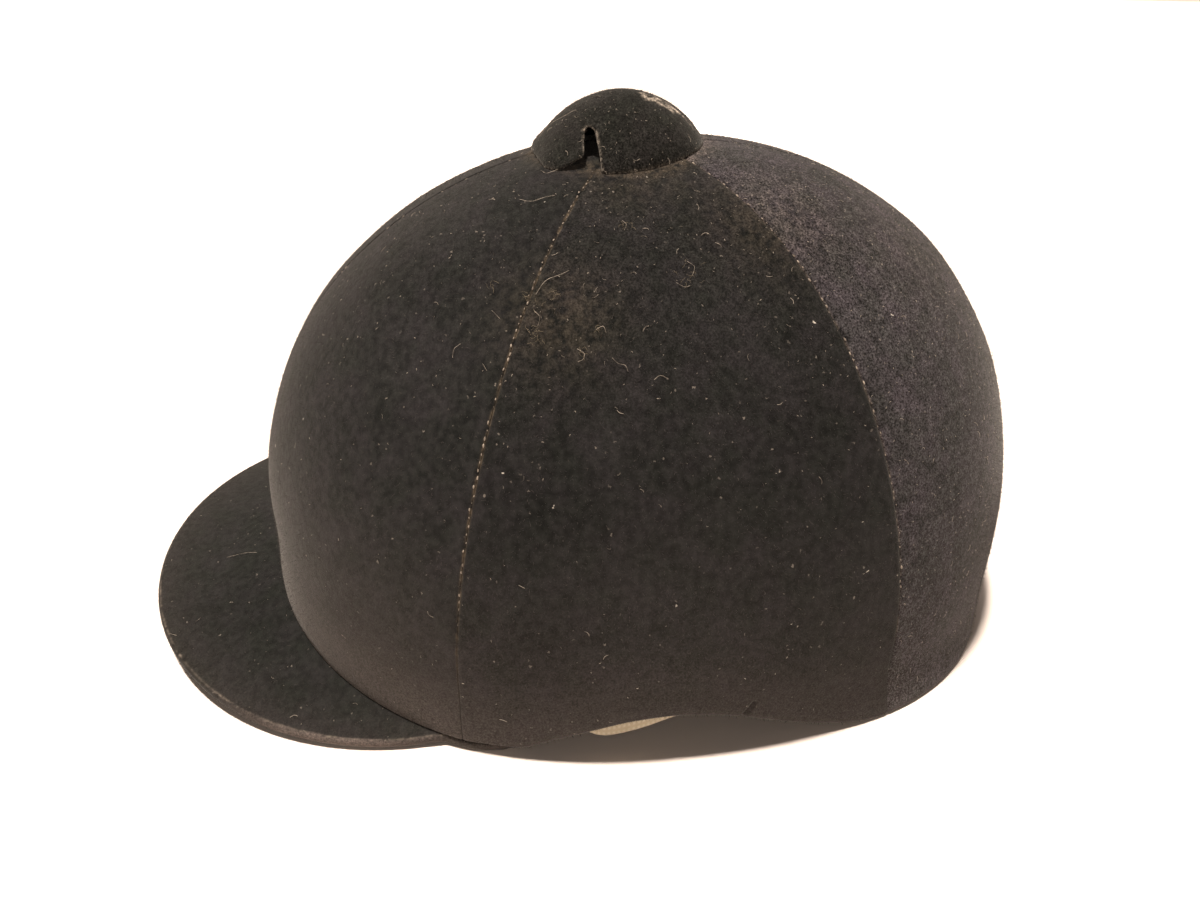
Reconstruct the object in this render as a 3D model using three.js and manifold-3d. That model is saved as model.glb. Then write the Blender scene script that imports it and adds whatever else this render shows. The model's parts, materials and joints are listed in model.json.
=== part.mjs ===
// A velvet riding hat: a hard crown covered with six velvet gores, a stiff peak, a slotted vent
// cap on top and a chin strap that lies inside. It stands on a table at z 0 with its peak at -Y.
// Sizes are in millimetres. An angle is counted round an upright axis from the front, in degrees.

import * as THREE from "three";
import { mergeVertices } from "three/addons/utils/BufferGeometryUtils.js";
import Module from "manifold-3d";

// Small gap between two pieces that touch on the real hat.
const GAP = 0.3;

// The crown, measured from its own upright axis. plan is the exponent of its egg-shaped section.
const CROWN = {
  axisY: 15.1,
  halfWidth: 108.25,
  frontLength: 117.65,
  backLength: 129.55,
  height: 144.4,
  plan: 2.26,
  wall: 3,
  bevel: 0.8,
  topHoleRadius: 12,
};

// The upright section of the crown at its front, side and back: how square its shoulder is,
// the height where it is widest, and how far its foot spreads or tucks in below that height.
const SECTION = {
  front: { shoulder: 1.866, widest: 42.9, foot: 0.025 },
  side: { shoulder: 1.852, widest: 18.8, foot: -0.008 },
  back: { shoulder: 2.48, widest: 15.4, foot: -0.055 },
};
const BACK_QUARTER_FOOT = 0.063;

// Angles of the seams between the gores, and the columns of facets across each gore.
const SEAM = { front: 0, sideFront: 58.2, sideBack: 121.8, back: 180 };
const GORE_COLUMNS = 12;
const FOOT_ROWS = 2;
const DOME_ROWS = 11;

// Lower edge of the crown behind the peak's tail: the ear arch, then flat to the back seam.
const RIM = [
  { angle: 66, height: 3.3 },
  { angle: 70.4, height: 6.8 },
  { angle: 76.5, height: 11.4 },
  { angle: 82.4, height: 14.6 },
  { angle: 87.6, height: 15.5 },
  { angle: 92, height: 14.8 },
  { angle: 98.3, height: 12 },
  { angle: 104.1, height: 8 },
  { angle: 110.3, height: 4 },
  { angle: 114.5, height: 1.7 },
  { angle: 118.5, height: 0.3 },
  { angle: 121.8, height: 0 },
  { angle: 180, height: 0 },
];

// The peak. Its outline is a long rounded curve about centreY, and its board is arched across:
// its top is high on the centre line and falls to sideTop at archHalfWidth.
const PEAK = {
  centreY: -57.75,
  halfWidth: 94.95,
  reach: 86.95,
  outline: 2.09,
  board: 3,
  archHalfWidth: 97.5,
  rootTop: 14.4,
  tipTop: 8.5,
  sideTop: 3,
  edgeRound: 1.2,
  tailTopAngle: 67,
  tailFootAngle: 65,
};
const PEAK_ROWS = [0, 0.12, 0.34, 0.56, 0.78, 1];

// The vent cap, measured from its own upright axis. Its foot flares where its front lobe lifts.
const CAP = {
  axisY: 11.8,
  radius: 25.5,
  baseHeight: 139.5,
  rise: 18.6,
  dome: 1.8,
  wall: 2.2,
  flareHeight: 9,
};
const CAP_FLARE = [
  { angle: 0, spread: 1.2 },
  { angle: 15, spread: 1.6 },
  { angle: 28, spread: 3.4 },
  { angle: 38, spread: 4.8 },
  { angle: 46, spread: 4.6 },
  { angle: 56, spread: 3.4 },
  { angle: 72, spread: 2 },
  { angle: 83, spread: 1 },
  { angle: 92, spread: 0 },
  { angle: 107, spread: -0.8 },
  { angle: 122, spread: -0.4 },
  { angle: 140, spread: 0.3 },
  { angle: 180, spread: 0 },
];
const CAP_COLUMNS = 48;
const CAP_ROWS = 8;

// One vent of the cap seen from the side: the lifted edge of the front lobe, then the slot.
const VENT = [
  { corner: "below the lobe's tip", y: -13, z: 134 },
  { corner: "lobe's tip", y: -12.1, z: 139.1 },
  { corner: "lobe's end", y: -1.6, z: 145 },
  { corner: "slot's top, front", y: -1.5, z: 149.2 },
  { corner: "slot's crown", y: 0, z: 150.2 },
  { corner: "slot's top, rear", y: 1.6, z: 149.4 },
  { corner: "slot's foot", y: 2.9, z: 139 },
  { corner: "below the slot's foot", y: 3, z: 134 },
];
const VENT_INNER_X = 8;
const VENT_DEPTH = 32;

// The chin strap's lower edge along the inside of the crown, from its end at the temple.
const STRAP = { width: 15, thickness: 1.5, wallGap: 0.4 };
const STRAP_EDGE = [
  { angle: 75.6, height: 7.8 },
  { angle: 76.9, height: 6.6 },
  { angle: 78.3, height: 6.2 },
  { angle: 79.8, height: 6.6 },
  { angle: 83.4, height: 8.5 },
  { angle: 88, height: 11.8 },
  { angle: 96, height: 16 },
  { angle: 106, height: 19 },
  { angle: 120, height: 20 },
  { angle: 180, height: 20 },
];
const STRAP_STEPS_EACH_SIDE = 28;

const VELVET = { color: 0x17161a, roughness: 0.96, metalness: 0 };
const PEAK_VELVET = { color: 0x1b181a, roughness: 0.95, metalness: 0 };
const WEBBING = { color: 0xd9cfb6, roughness: 0.85, metalness: 0 };

const { lerp, smoothstep, degToRad } = THREE.MathUtils;
const wasm = await Module();
wasm.setup();

// Height or spread from a table at an angle, on a smooth curve that doesn't overshoot its rows.
function fromTable(table, column, angle) {
  const at = Math.abs(angle);
  const last = table.length - 1;
  if (at <= table[0].angle) return table[0][column];
  if (at >= table[last].angle) return table[last][column];
  const slope = (i) =>
    (table[i + 1][column] - table[i][column]) / (table[i + 1].angle - table[i].angle);
  const tangent = (i) => {
    if (i === 0 || i === last) return 0;
    const before = slope(i - 1);
    const after = slope(i);
    return before * after <= 0 ? 0 : (2 * before * after) / (before + after);
  };
  const i = table.findIndex((row) => row.angle > at) - 1;
  const span = table[i + 1].angle - table[i].angle;
  const t = (at - table[i].angle) / span;
  const from = table[i][column];
  const to = table[i + 1][column];
  return (
    lerp(from, to, t * t * (3 - 2 * t)) +
    span * t * (1 - t) * (tangent(i) * (1 - t) - tangent(i + 1) * t)
  );
}

// A point at a radius and angle round an upright axis, moved sideways along the circle.
function around(axisY, radius, angle, height, sideways = 0) {
  const turn = degToRad(angle);
  return new THREE.Vector3(
    radius * Math.sin(turn) + sideways * Math.cos(turn),
    axisY - radius * Math.cos(turn) + sideways * Math.sin(turn),
    height,
  );
}

// The crown's upright section at an angle: its widest radius, and the three section values.
function crownSection(angle, inset) {
  const turn = degToRad(angle);
  const across = Math.sin(turn) ** 2;
  const ends = Math.cos(turn) > 0 ? SECTION.front : SECTION.back;
  const length = Math.cos(turn) > 0 ? CROWN.frontLength : CROWN.backLength;
  const mix = (key) => lerp(ends[key], SECTION.side[key], across);
  const quarter = Math.cos(turn) > 0 ? 0 : BACK_QUARTER_FOOT * 4 * across * (1 - across);
  const radius =
    (Math.abs(Math.sin(turn) / (CROWN.halfWidth - inset)) ** CROWN.plan +
      Math.abs(Math.cos(turn) / (length - inset)) ** CROWN.plan) **
    (-1 / CROWN.plan);
  return {
    radius,
    shoulder: mix("shoulder"),
    widest: mix("widest"),
    foot: mix("foot") + quarter,
    top: CROWN.height - inset,
  };
}

// Radius of the crown's wall at an angle and a height below where it is widest.
function footRadius(section, height) {
  const below = (section.widest - height) / section.widest;
  return section.radius * (1 + section.foot * below ** 2);
}

// Radius of the crown's wall at any height.
function wallRadius(angle, height, inset = 0) {
  const section = crownSection(angle, inset);
  if (height < section.widest) return footRadius(section, height);
  const up = (height - section.widest) / (section.top - section.widest);
  return section.radius * (1 - up ** section.shoulder) ** (1 / section.shoulder);
}

// Height of the crown's outer surface above a point of the plan.
function crownHeight(x, y) {
  const angle = THREE.MathUtils.radToDeg(Math.atan2(x, CROWN.axisY - y));
  const section = crownSection(angle, 0);
  const out = Math.hypot(x, y - CROWN.axisY) / section.radius;
  const rise = (1 - out ** section.shoulder) ** (1 / section.shoulder);
  return section.widest + (section.top - section.widest) * rise;
}

// Height of the peak's top: raised on the centre line, and falling from its root to its tip.
function peakTop(x, outwards) {
  const arch = Math.max(0, 1 - (x / PEAK.archHalfWidth) ** 2);
  return PEAK.sideTop + (lerp(PEAK.rootTop, PEAK.tipTop, outwards) - PEAK.sideTop) * arch;
}

// Height of the crown's lower edge. Over the peak it follows the board's top.
function rimHeight(angle) {
  if (Math.abs(angle) > RIM[0].angle) return fromTable(RIM, "height", angle);
  const x = wallRadius(angle, PEAK.sideTop) * Math.sin(degToRad(angle));
  return peakTop(x, 0) + GAP;
}

// Closed mesh through loops of points: quads join each loop to the next, and a row of quads
// closes each end loop, whose points pair up from both sides of its first edge.
function closedLoft(loops) {
  const size = loops[0].length;
  const positions = loops.flat().flatMap((point) => point.toArray());
  const index = [];
  const quad = (a, b, c, d) => index.push(a, b, c, a, c, d);
  for (let i = 0; i + 1 < loops.length; i++) {
    for (let k = 0; k < size; k++) {
      const next = (k + 1) % size;
      quad(i * size + k, (i + 1) * size + k, (i + 1) * size + next, i * size + next);
    }
  }
  const end = (loops.length - 1) * size;
  for (let k = 0; k + 1 < size / 2; k++) {
    quad(k, k + 1, size - 2 - k, size - 1 - k);
    quad(end + size - 1 - k, end + size - 2 - k, end + k + 1, end + k);
  }
  const geometry = new THREE.BufferGeometry();
  geometry.setAttribute("position", new THREE.Float32BufferAttribute(positions, 3));
  geometry.setIndex(index);
  return geometry;
}

function solidOf(geometry) {
  const bare = geometry.clone();
  bare.deleteAttribute("normal");
  bare.deleteAttribute("uv");
  const merged = mergeVertices(bare, 1e-4);
  return new wasm.Manifold(
    new wasm.Mesh({
      numProp: 3,
      vertProperties: merged.attributes.position.array,
      triVerts: new Uint32Array(merged.index.array),
    }),
  );
}

function geometryOf(solid) {
  const mesh = solid.getMesh();
  const geometry = new THREE.BufferGeometry();
  geometry.setAttribute("position", new THREE.BufferAttribute(mesh.vertProperties, 3));
  geometry.setIndex(new THREE.BufferAttribute(mesh.triVerts, 1));
  return geometry;
}

function named(name, geometry, look) {
  geometry.computeVertexNormals();
  const mesh = new THREE.Mesh(geometry, new THREE.MeshStandardMaterial(look));
  mesh.name = name;
  return mesh;
}

// One side of the crown's wall at an angle, from its bevelled foot to the hole at the top.
function wallLine(angle, inset, sideways) {
  const section = crownSection(angle, inset);
  const rim = rimHeight(angle);
  const foot = rim + CROWN.bevel;
  const bevel = inset > 0 ? CROWN.bevel : -CROWN.bevel;
  const point = (radius, height) => around(CROWN.axisY, radius, angle, height, sideways);
  const line = [point(wallRadius(angle, foot, inset) + bevel, rim)];
  for (let row = 0; row < FOOT_ROWS; row++) {
    const height = lerp(foot, section.widest, row / FOOT_ROWS);
    line.push(point(footRadius(section, height), height));
  }
  const power = 2 / section.shoulder;
  const topTurn = Math.acos((CROWN.topHoleRadius / section.radius) ** (1 / power));
  for (let row = 0; row <= DOME_ROWS; row++) {
    const turn = (topTurn * row) / DOME_ROWS;
    const height = section.widest + (section.top - section.widest) * Math.sin(turn) ** power;
    line.push(point(section.radius * Math.cos(turn) ** power, height));
  }
  return line;
}

function gore(from, to) {
  const loops = [];
  for (let column = 0; column <= GORE_COLUMNS; column++) {
    const angle = lerp(from, to, column / GORE_COLUMNS);
    const sideways = column === 0 ? GAP / 2 : column === GORE_COLUMNS ? -GAP / 2 : 0;
    const outer = wallLine(angle, 0, sideways);
    const inner = wallLine(angle, CROWN.wall, sideways);
    loops.push([...outer, ...inner.reverse()]);
  }
  return closedLoft(loops);
}

// The same piece on the hat's other side.
function mirrored(geometry) {
  const other = geometry.clone().scale(-1, 1, 1);
  const index = [...other.getIndex().array];
  for (let i = 0; i < index.length; i += 3) {
    [index[i + 1], index[i + 2]] = [index[i + 2], index[i + 1]];
  }
  other.setIndex(index);
  return other;
}

// Distance from the crown's axis to the peak's outline at an angle. It is never inside the wall.
function peakRadius(angle) {
  const turn = degToRad(angle);
  const wall = wallRadius(angle, rimHeight(angle));
  const outside = (radius) => {
    const x = Math.abs(radius * Math.sin(turn)) / PEAK.halfWidth;
    const y = Math.max(0, PEAK.centreY - (CROWN.axisY - radius * Math.cos(turn))) / PEAK.reach;
    return x ** PEAK.outline + y ** PEAK.outline > 1;
  };
  let near = wall;
  let far = PEAK.reach + CROWN.frontLength;
  if (outside(near)) return wall;
  while (far - near > 0.001) {
    const middle = (near + far) / 2;
    if (outside(middle)) far = middle;
    else near = middle;
  }
  return near;
}

// Section of the peak's board at an angle. footAngle turns its underside back at the tail's end.
function peakLoop(topAngle, footAngle) {
  const level = (angle, drop) => {
    const turn = degToRad(angle);
    const wall = wallRadius(angle, rimHeight(angle));
    const root = wallRadius(angle, rimHeight(angle), CROWN.wall);
    const edge = peakRadius(angle);
    const height = (radius) => {
      const outwards = Math.max(0, (radius - wall) / Math.max(edge - wall, CROWN.wall));
      const x = Math.min(radius, edge) * Math.sin(turn);
      const atWall = wall * Math.sin(turn);
      return peakTop(radius < wall ? atWall : x, outwards) - drop;
    };
    const rows = PEAK_ROWS.map((share) => {
      const radius = lerp(root, edge - PEAK.edgeRound, share);
      return around(CROWN.axisY, radius, angle, height(radius));
    });
    return { rows, edge, edgeTop: height(edge) };
  };
  const top = level(topAngle, 0);
  const foot = level(footAngle, PEAK.board);
  const rim = (side, angle, down) =>
    around(CROWN.axisY, side.edge, angle, side.edgeTop + down);
  const lip = PEAK.board / 3;
  return [
    ...foot.rows,
    rim(foot, footAngle, lip),
    rim(top, topAngle, -lip),
    ...top.rows.reverse(),
  ];
}

function peak() {
  const angles = [];
  for (let column = 0; column < GORE_COLUMNS; column++) {
    angles.push((SEAM.sideFront * column) / GORE_COLUMNS);
  }
  const sideStep = (SEAM.sideBack - SEAM.sideFront) / GORE_COLUMNS;
  angles.push(SEAM.sideFront, SEAM.sideFront + sideStep);
  const oneSide = angles.map((angle) => [angle, angle]);
  oneSide.push([PEAK.tailTopAngle, PEAK.tailFootAngle]);
  const otherSide = oneSide.slice(1).map(([top, foot]) => [-top, -foot]);
  const loops = [...otherSide.reverse(), ...oneSide].map(([top, foot]) => peakLoop(top, foot));
  return closedLoft(loops);
}

// Closed dome of the cap at an inset from its outside, standing just clear of the crown.
function capSurface(inset) {
  const columns = [];
  const top = CAP.baseHeight + CAP.rise - inset;
  for (let column = 0; column < CAP_COLUMNS; column++) {
    const angle = (360 * column) / CAP_COLUMNS;
    const spread = fromTable(CAP_FLARE, "spread", angle > 180 ? 360 - angle : angle);
    const footPoint = around(CAP.axisY, CAP.radius + spread - inset, angle, 0);
    const foot = crownHeight(footPoint.x, footPoint.y) + GAP;
    const line = [];
    for (let row = 0; row < CAP_ROWS; row++) {
      const turn = ((Math.PI / 2) * row) / CAP_ROWS;
      const height = lerp(foot, top, Math.sin(turn) ** (2 / CAP.dome));
      const up = Math.max(0, height - CAP.baseHeight) / (CAP.rise - inset);
      const dome = (CAP.radius - inset) * (1 - up ** CAP.dome) ** (1 / CAP.dome);
      const flare = spread * (1 - smoothstep(height - foot, 0, CAP.flareHeight));
      line.push(around(CAP.axisY, dome + flare, angle, height));
    }
    columns.push(line);
  }
  return { columns, top: new THREE.Vector3(0, CAP.axisY, top) };
}

function capShell() {
  const outer = capSurface(0);
  const inner = capSurface(CAP.wall);
  const positions = [];
  const add = (point) => positions.push(...point.toArray()) / 3 - 1;
  const rings = [];
  for (let row = CAP_ROWS - 1; row >= 0; row--) {
    rings.push(outer.columns.map((line) => add(line[row])));
  }
  for (let row = 0; row < CAP_ROWS; row++) {
    rings.push(inner.columns.map((line) => add(line[row])));
  }
  const outerTop = add(outer.top);
  const innerTop = add(inner.top);
  const index = [];
  for (let column = 0; column < CAP_COLUMNS; column++) {
    const next = (column + 1) % CAP_COLUMNS;
    index.push(outerTop, rings[0][column], rings[0][next]);
    for (let ring = 0; ring + 1 < rings.length; ring++) {
      const a = rings[ring][column];
      const b = rings[ring + 1][column];
      const c = rings[ring + 1][next];
      const d = rings[ring][next];
      index.push(a, b, c, a, c, d);
    }
    const last = rings[rings.length - 1];
    index.push(innerTop, last[next], last[column]);
  }
  const geometry = new THREE.BufferGeometry();
  geometry.setAttribute("position", new THREE.Float32BufferAttribute(positions, 3));
  geometry.setIndex(index);
  return geometry;
}

// One vent as a prism through the cap's side. side is 1 for the left and -1 for the right.
function ventPrism(side) {
  const corners = VENT.map(({ y, z }) => new THREE.Vector2(side * y, z));
  const prism = new THREE.ExtrudeGeometry(new THREE.Shape(corners), {
    depth: VENT_DEPTH,
    bevelEnabled: false,
  });
  prism.rotateX(Math.PI / 2);
  prism.rotateZ((side * Math.PI) / 2);
  prism.translate(side * VENT_INNER_X, 0, 0);
  return prism;
}

function ventCap() {
  const cut = solidOf(capShell())
    .subtract(solidOf(ventPrism(1)))
    .subtract(solidOf(ventPrism(-1)));
  return geometryOf(cut);
}

function chinStrap() {
  const loops = [];
  const start = STRAP_EDGE[0].angle;
  for (let step = -STRAP_STEPS_EACH_SIDE; step <= STRAP_STEPS_EACH_SIDE; step++) {
    const angle = 180 + ((180 - start) * step) / STRAP_STEPS_EACH_SIDE;
    const fromFront = angle > 180 ? 360 - angle : angle;
    const lower = fromTable(STRAP_EDGE, "height", fromFront);
    const corner = (height, inwards) => {
      const face = wallRadius(angle, height, CROWN.wall) - STRAP.wallGap;
      return around(CROWN.axisY, face - inwards, angle, height);
    };
    const upper = lower + STRAP.width;
    loops.push([
      corner(lower, 0),
      corner(upper, 0),
      corner(upper, STRAP.thickness),
      corner(lower, STRAP.thickness),
    ]);
  }
  return closedLoft(loops);
}

const frontGore = gore(SEAM.front, SEAM.sideFront);
const sideGore = gore(SEAM.sideFront, SEAM.sideBack);
const backGore = gore(SEAM.sideBack, SEAM.back);

const crown = new THREE.Group();
crown.add(
  named("crown_front_left", frontGore, VELVET),
  named("crown_side_left", sideGore, VELVET),
  named("crown_back_left", backGore, VELVET),
  named("crown_front_right", mirrored(frontGore), VELVET),
  named("crown_side_right", mirrored(sideGore), VELVET),
  named("crown_back_right", mirrored(backGore), VELVET),
);

const hat = new THREE.Group();
hat.add(
  crown,
  named("peak", peak(), PEAK_VELVET),
  named("vent_cap", ventCap(), VELVET),
  named("chin_strap", chinStrap(), WEBBING),
);

export default hat;
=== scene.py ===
"""A velvet riding hat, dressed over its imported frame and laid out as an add-on.

Tables and shape functions are in millimetres, meshes and properties in metres. An angle is
counted round the crown's upright axis from the front, in degrees, and grows towards +X.
"""

import json
from typing import NamedTuple

import bmesh
import bpy
import numpy as np
from mathutils import Matrix, Vector, noise
from mathutils.bvhtree import BVHTree

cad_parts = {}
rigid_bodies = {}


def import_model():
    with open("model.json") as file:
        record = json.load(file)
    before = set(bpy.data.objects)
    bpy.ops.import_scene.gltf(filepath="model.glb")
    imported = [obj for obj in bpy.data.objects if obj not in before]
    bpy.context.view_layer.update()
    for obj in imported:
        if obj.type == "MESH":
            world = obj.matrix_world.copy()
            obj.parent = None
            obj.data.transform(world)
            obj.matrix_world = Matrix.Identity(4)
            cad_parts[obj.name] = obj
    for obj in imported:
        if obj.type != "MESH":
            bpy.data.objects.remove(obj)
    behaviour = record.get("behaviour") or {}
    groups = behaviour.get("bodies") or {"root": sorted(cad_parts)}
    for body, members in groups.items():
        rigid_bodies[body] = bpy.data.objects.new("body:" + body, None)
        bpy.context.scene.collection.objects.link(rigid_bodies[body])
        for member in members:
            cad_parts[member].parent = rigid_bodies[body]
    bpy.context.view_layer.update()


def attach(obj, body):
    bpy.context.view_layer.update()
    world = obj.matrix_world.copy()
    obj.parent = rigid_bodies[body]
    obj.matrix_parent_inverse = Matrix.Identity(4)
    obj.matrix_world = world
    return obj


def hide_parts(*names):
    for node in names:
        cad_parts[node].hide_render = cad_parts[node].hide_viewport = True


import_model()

bl_info = {
    "name": "Velvet Riding Hat",
    "version": (1, 0, 0),
    "blender": (4, 5, 0),
    "location": "3D View > Sidebar > Riding Hat",
    "description": "Builds a velvet riding hat and its studio over a packed frame",
    "category": "Add Mesh",
}

MM = 0.001

# The crown, as its solids have it. CROWN_PLAN is the exponent of its egg-shaped section.
CROWN_AXIS_Y = 15.1
CROWN_HALF_WIDTH = 108.25
CROWN_FRONT_LENGTH = 117.65
CROWN_BACK_LENGTH = 129.55
CROWN_HEIGHT = 144.4
CROWN_PLAN = 2.26
CROWN_WALL = 3.0
TOP_HOLE_RADIUS = 12.0
BACK_QUARTER_FOOT = 0.063


class Upright(NamedTuple):
    """Upright section of the crown: its shoulder's squareness, widest height, foot's spread."""

    shoulder: float
    widest: float
    foot: float


FRONT_SECTION = Upright(1.866, 42.9, 0.025)
SIDE_SECTION = Upright(1.852, 18.8, -0.008)
BACK_SECTION = Upright(2.48, 15.4, -0.055)

# Angle and height of the crown's lower edge behind the peak's tail.
RIM = [
    (66, 3.3), (70.4, 6.8), (76.5, 11.4), (82.4, 14.6), (87.6, 15.5), (92, 14.8), (98.3, 12),
    (104.1, 8), (110.3, 4), (114.5, 1.7), (118.5, 0.3), (121.8, 0), (180, 0),
]

# The gores between their seams, on the left. The right side is the same at negative angles.
SEAM_SIDE_FRONT = 58.2
SEAM_SIDE_BACK = 121.8
GORES = {
    "front": (0.0, SEAM_SIDE_FRONT),
    "side": (SEAM_SIDE_FRONT, SEAM_SIDE_BACK),
    "back": (SEAM_SIDE_BACK, 180.0),
}
FOOT_ROWS = 14
DOME_ROWS = 84
EDGE_STEPS = 5

# The peak. Its outline is slightly less square than its solid's.
PEAK_CENTRE_Y = -57.75
PEAK_HALF_WIDTH = 94.95
PEAK_REACH = 86.95
PEAK_OUTLINE = 2.03
PEAK_BOARD = 3.0
PEAK_ARCH_HALF_WIDTH = 97.5
PEAK_ROOT_TOP = 14.4
PEAK_TIP_TOP = 8.5
PEAK_SIDE_TOP = 3.0
PEAK_TAIL_FROM = 63.5
PEAK_TAIL_TOP = 67.0
PEAK_TAIL_FOOT = 65.0
# Columns on one side of the peak, as stretches of angles and their counts, and the rows across.
PEAK_COLUMNS = ((0, 54, 52), (54.4, PEAK_TAIL_FROM, 24), (63.9, PEAK_TAIL_TOP, 9))
PEAK_ROWS = 44
# The peak's edge is squarer than round below 1. Its tail draws in under the rim by the tuck.
EDGE_SQUARENESS = 0.85
PEAK_TAIL_TUCK = 3.2
RIM_GAP = 0.3

# The vent cap. Its dome is slightly less square in front than its solid's, and squarer behind.
CAP_AXIS_Y = 11.8
CAP_RADIUS = 25.5
CAP_BASE = 139.5
CAP_RISE = 18.6
CAP_FRONT_DOME = 1.72
CAP_BACK_DOME = 1.86
CAP_WALL = 2.2
CAP_FLARE_HEIGHT = 8.0
CAP_COLUMNS = 120
CAP_ROWS = 26
# Angle and spread of the cap's foot, where its front lobe lifts.
CAP_FLARE = [
    (0, 1.2), (15, 1.6), (28, 3.4), (38, 4.8), (46, 4.6), (56, 3.4), (72, 2), (83, 1), (92, 0),
    (107, -0.8), (122, -0.4), (140, 0.3), (180, 0),
]
# One vent of the cap from the side, as y and z: under the lobe, its tip, its end, the slot. The
# velvet hangs about 1.5 mm lower along the lobe than its solid does.
VENT = [
    (-13, 134), (-12.1, 138.3), (-2.4, 143.4), (-1.5, 149.2), (0, 150.2), (1.6, 149.4),
    (2.3, 139), (2.4, 134),
]
VENT_INNER_X = 8.0
VENT_OUTER_X = 40.0

STRAP_WIDTH = 15.0
STRAP_THICKNESS = 1.5
STRAP_WALL_GAP = 0.4
STRAP_CORNER = 0.45
STRAP_FLAT_FROM = 1.2
STRAP_FLAT_ROWS = 12
STRAP_COLUMNS = 320
STRAP_INNER_START = 20.0
# Angle and height of the strap's lower edge.
STRAP_EDGE = [
    (75.6, 7.8), (76.9, 6.6), (78.3, 6.2), (79.8, 6.6), (83.4, 8.5), (88, 11.8), (96, 16),
    (106, 19), (120, 20), (180, 20),
]

# The camera, where the photograph was taken from. Its picture is 1200 by 900.
CAMERA_PLACE = Vector((269.32, -38.334, 191.823))
CAMERA_AHEAD = Vector((-0.85747, 0.14705, -0.49308))
CAMERA_RIGHT = Vector((0.15679, 0.98739, 0.02181))
CAMERA_UP = Vector((-0.49007, 0.05861, 0.86971))
CAMERA_FOCUS = 871.339
PICTURE = (1200, 900)
SENSOR_WIDTH = 36.0

# The stage: half the floor's width and where the lamps aim, in metres, and the lamps' colour.
FLOOR_REACH = 6.0
LAMP_AIM = Vector((0, 0, 0.06))
LAMP_COLOUR = "#fff0e2"

# Hairs and threads that lie on the velvet, each as picture points from end to end.
HAIRS = [
    [(520, 200), (532, 203), (545, 199), (555, 196)],
    [(569, 271), (560, 276), (549, 280), (543, 285), (536, 295)],
    [(534, 311), (540, 318), (538, 326)],
    [(577, 349), (584, 354), (583, 360), (578, 362)],
    [(492, 311), (496, 315), (500, 319)],
    [(461, 344), (455, 350), (453, 358)],
    [(483, 364), (487, 371)],
    [(227, 558), (238, 556), (248, 554), (257, 553)],
    [(687, 262), (694, 268), (692, 276)],
    [(676, 283), (684, 288), (690, 286)],
    [(622, 221), (626, 226), (624, 231)],
    [(519, 585), (525, 588)],
    [(170, 634), (177, 636)],
    [(612, 358), (618, 364), (625, 366), (628, 372)],
    [(596, 330), (603, 327), (606, 333)],
    [(654, 380), (660, 376), (668, 379)],
    [(541, 171), (546, 175), (551, 174), (558, 169)],
    [(584, 129), (585.5, 130.5), (587, 132)], [(587, 129), (585.5, 130.5), (585, 133)],
    [(540, 137), (547.5, 129), (555, 123), (562.5, 119), (570, 115), (576, 111.5), (578, 113)],
]

# Clumps of fine dust fibres, as a picture point, a radius in picture points and a count.
CLUMPS = [
    (537, 333, 12, 16), (556, 298, 9, 9), (583, 355, 6, 6), (688, 274, 12, 12), (492, 288, 5, 5),
    (598, 331, 7, 5), (625, 227, 7, 6), (531, 300, 10, 7), (993, 359, 5, 12),
]
# Steps of a fibre in a clump, the length of one in picture points and its turn in radians.
CLUMP_STEPS = 3
CLUMP_STEP = 2.2
CLUMP_CURL = 0.7
# How high a hair lies over the velvet at its ends and between them.
HAIR_END_LIFT = 0.25
HAIR_LIFT = 0.6


def lerp(start, end, share):
    """The value that lies a share of the way from start to end."""
    return start + (end - start) * share


def smooth_step(start, end, value):
    """0 at start and before, 1 at end and after, with a smooth rise between."""
    share = np.clip((value - start) / (end - start), 0, 1)
    return share * share * (3 - 2 * share)


def along_table(rows, angle):
    """The second column of a table at each angle, on a curve that doesn't overshoot its rows."""
    known, value = np.array(rows, float).T
    slope = np.diff(value) / np.diff(known)
    before, after = slope[:-1], slope[1:]
    tangent = np.zeros_like(value)
    rising = before * after > 0
    tangent[1:-1][rising] = 2 * (before * after)[rising] / (before + after)[rising]
    at = np.clip(np.abs(angle), known[0], known[-1])
    i = np.clip(np.searchsorted(known, at, side="right") - 1, 0, len(known) - 2)
    span = known[i + 1] - known[i]
    t = (at - known[i]) / span
    bend = span * t * (1 - t) * (tangent[i] * (1 - t) - tangent[i + 1] * t)
    return lerp(value[i], value[i + 1], t * t * (3 - 2 * t)) + bend


def around(axis_y, radius, angle, height):
    """Points at a radius and angle round an upright axis."""
    turn = np.radians(angle)
    x = radius * np.sin(turn)
    return np.stack(np.broadcast_arrays(x, axis_y - radius * np.cos(turn), height), axis=-1)


class Section(NamedTuple):
    """The crown's upright section at some angles."""

    radius: np.ndarray
    shoulder: np.ndarray
    widest: np.ndarray
    foot: np.ndarray
    top: float


def crown_section(angle, inset=0.0):
    """The crown's section at each angle, for its outside or for a surface at an inset in it."""
    turn = np.radians(angle)
    across = np.sin(turn) ** 2
    ahead = np.cos(turn) > 0
    length = np.where(ahead, CROWN_FRONT_LENGTH, CROWN_BACK_LENGTH) - inset
    ends = [np.where(ahead, front, back) for front, back in zip(FRONT_SECTION, BACK_SECTION)]
    shoulder, widest, foot = [lerp(end, side, across) for end, side in zip(ends, SIDE_SECTION)]
    quarter = np.where(ahead, 0, BACK_QUARTER_FOOT * 4 * across * (1 - across))
    wide = np.abs(np.sin(turn) / (CROWN_HALF_WIDTH - inset)) ** CROWN_PLAN
    long = np.abs(np.cos(turn) / length) ** CROWN_PLAN
    radius = (wide + long) ** (-1 / CROWN_PLAN)
    return Section(radius, shoulder, widest, foot + quarter, CROWN_HEIGHT - inset)


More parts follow.
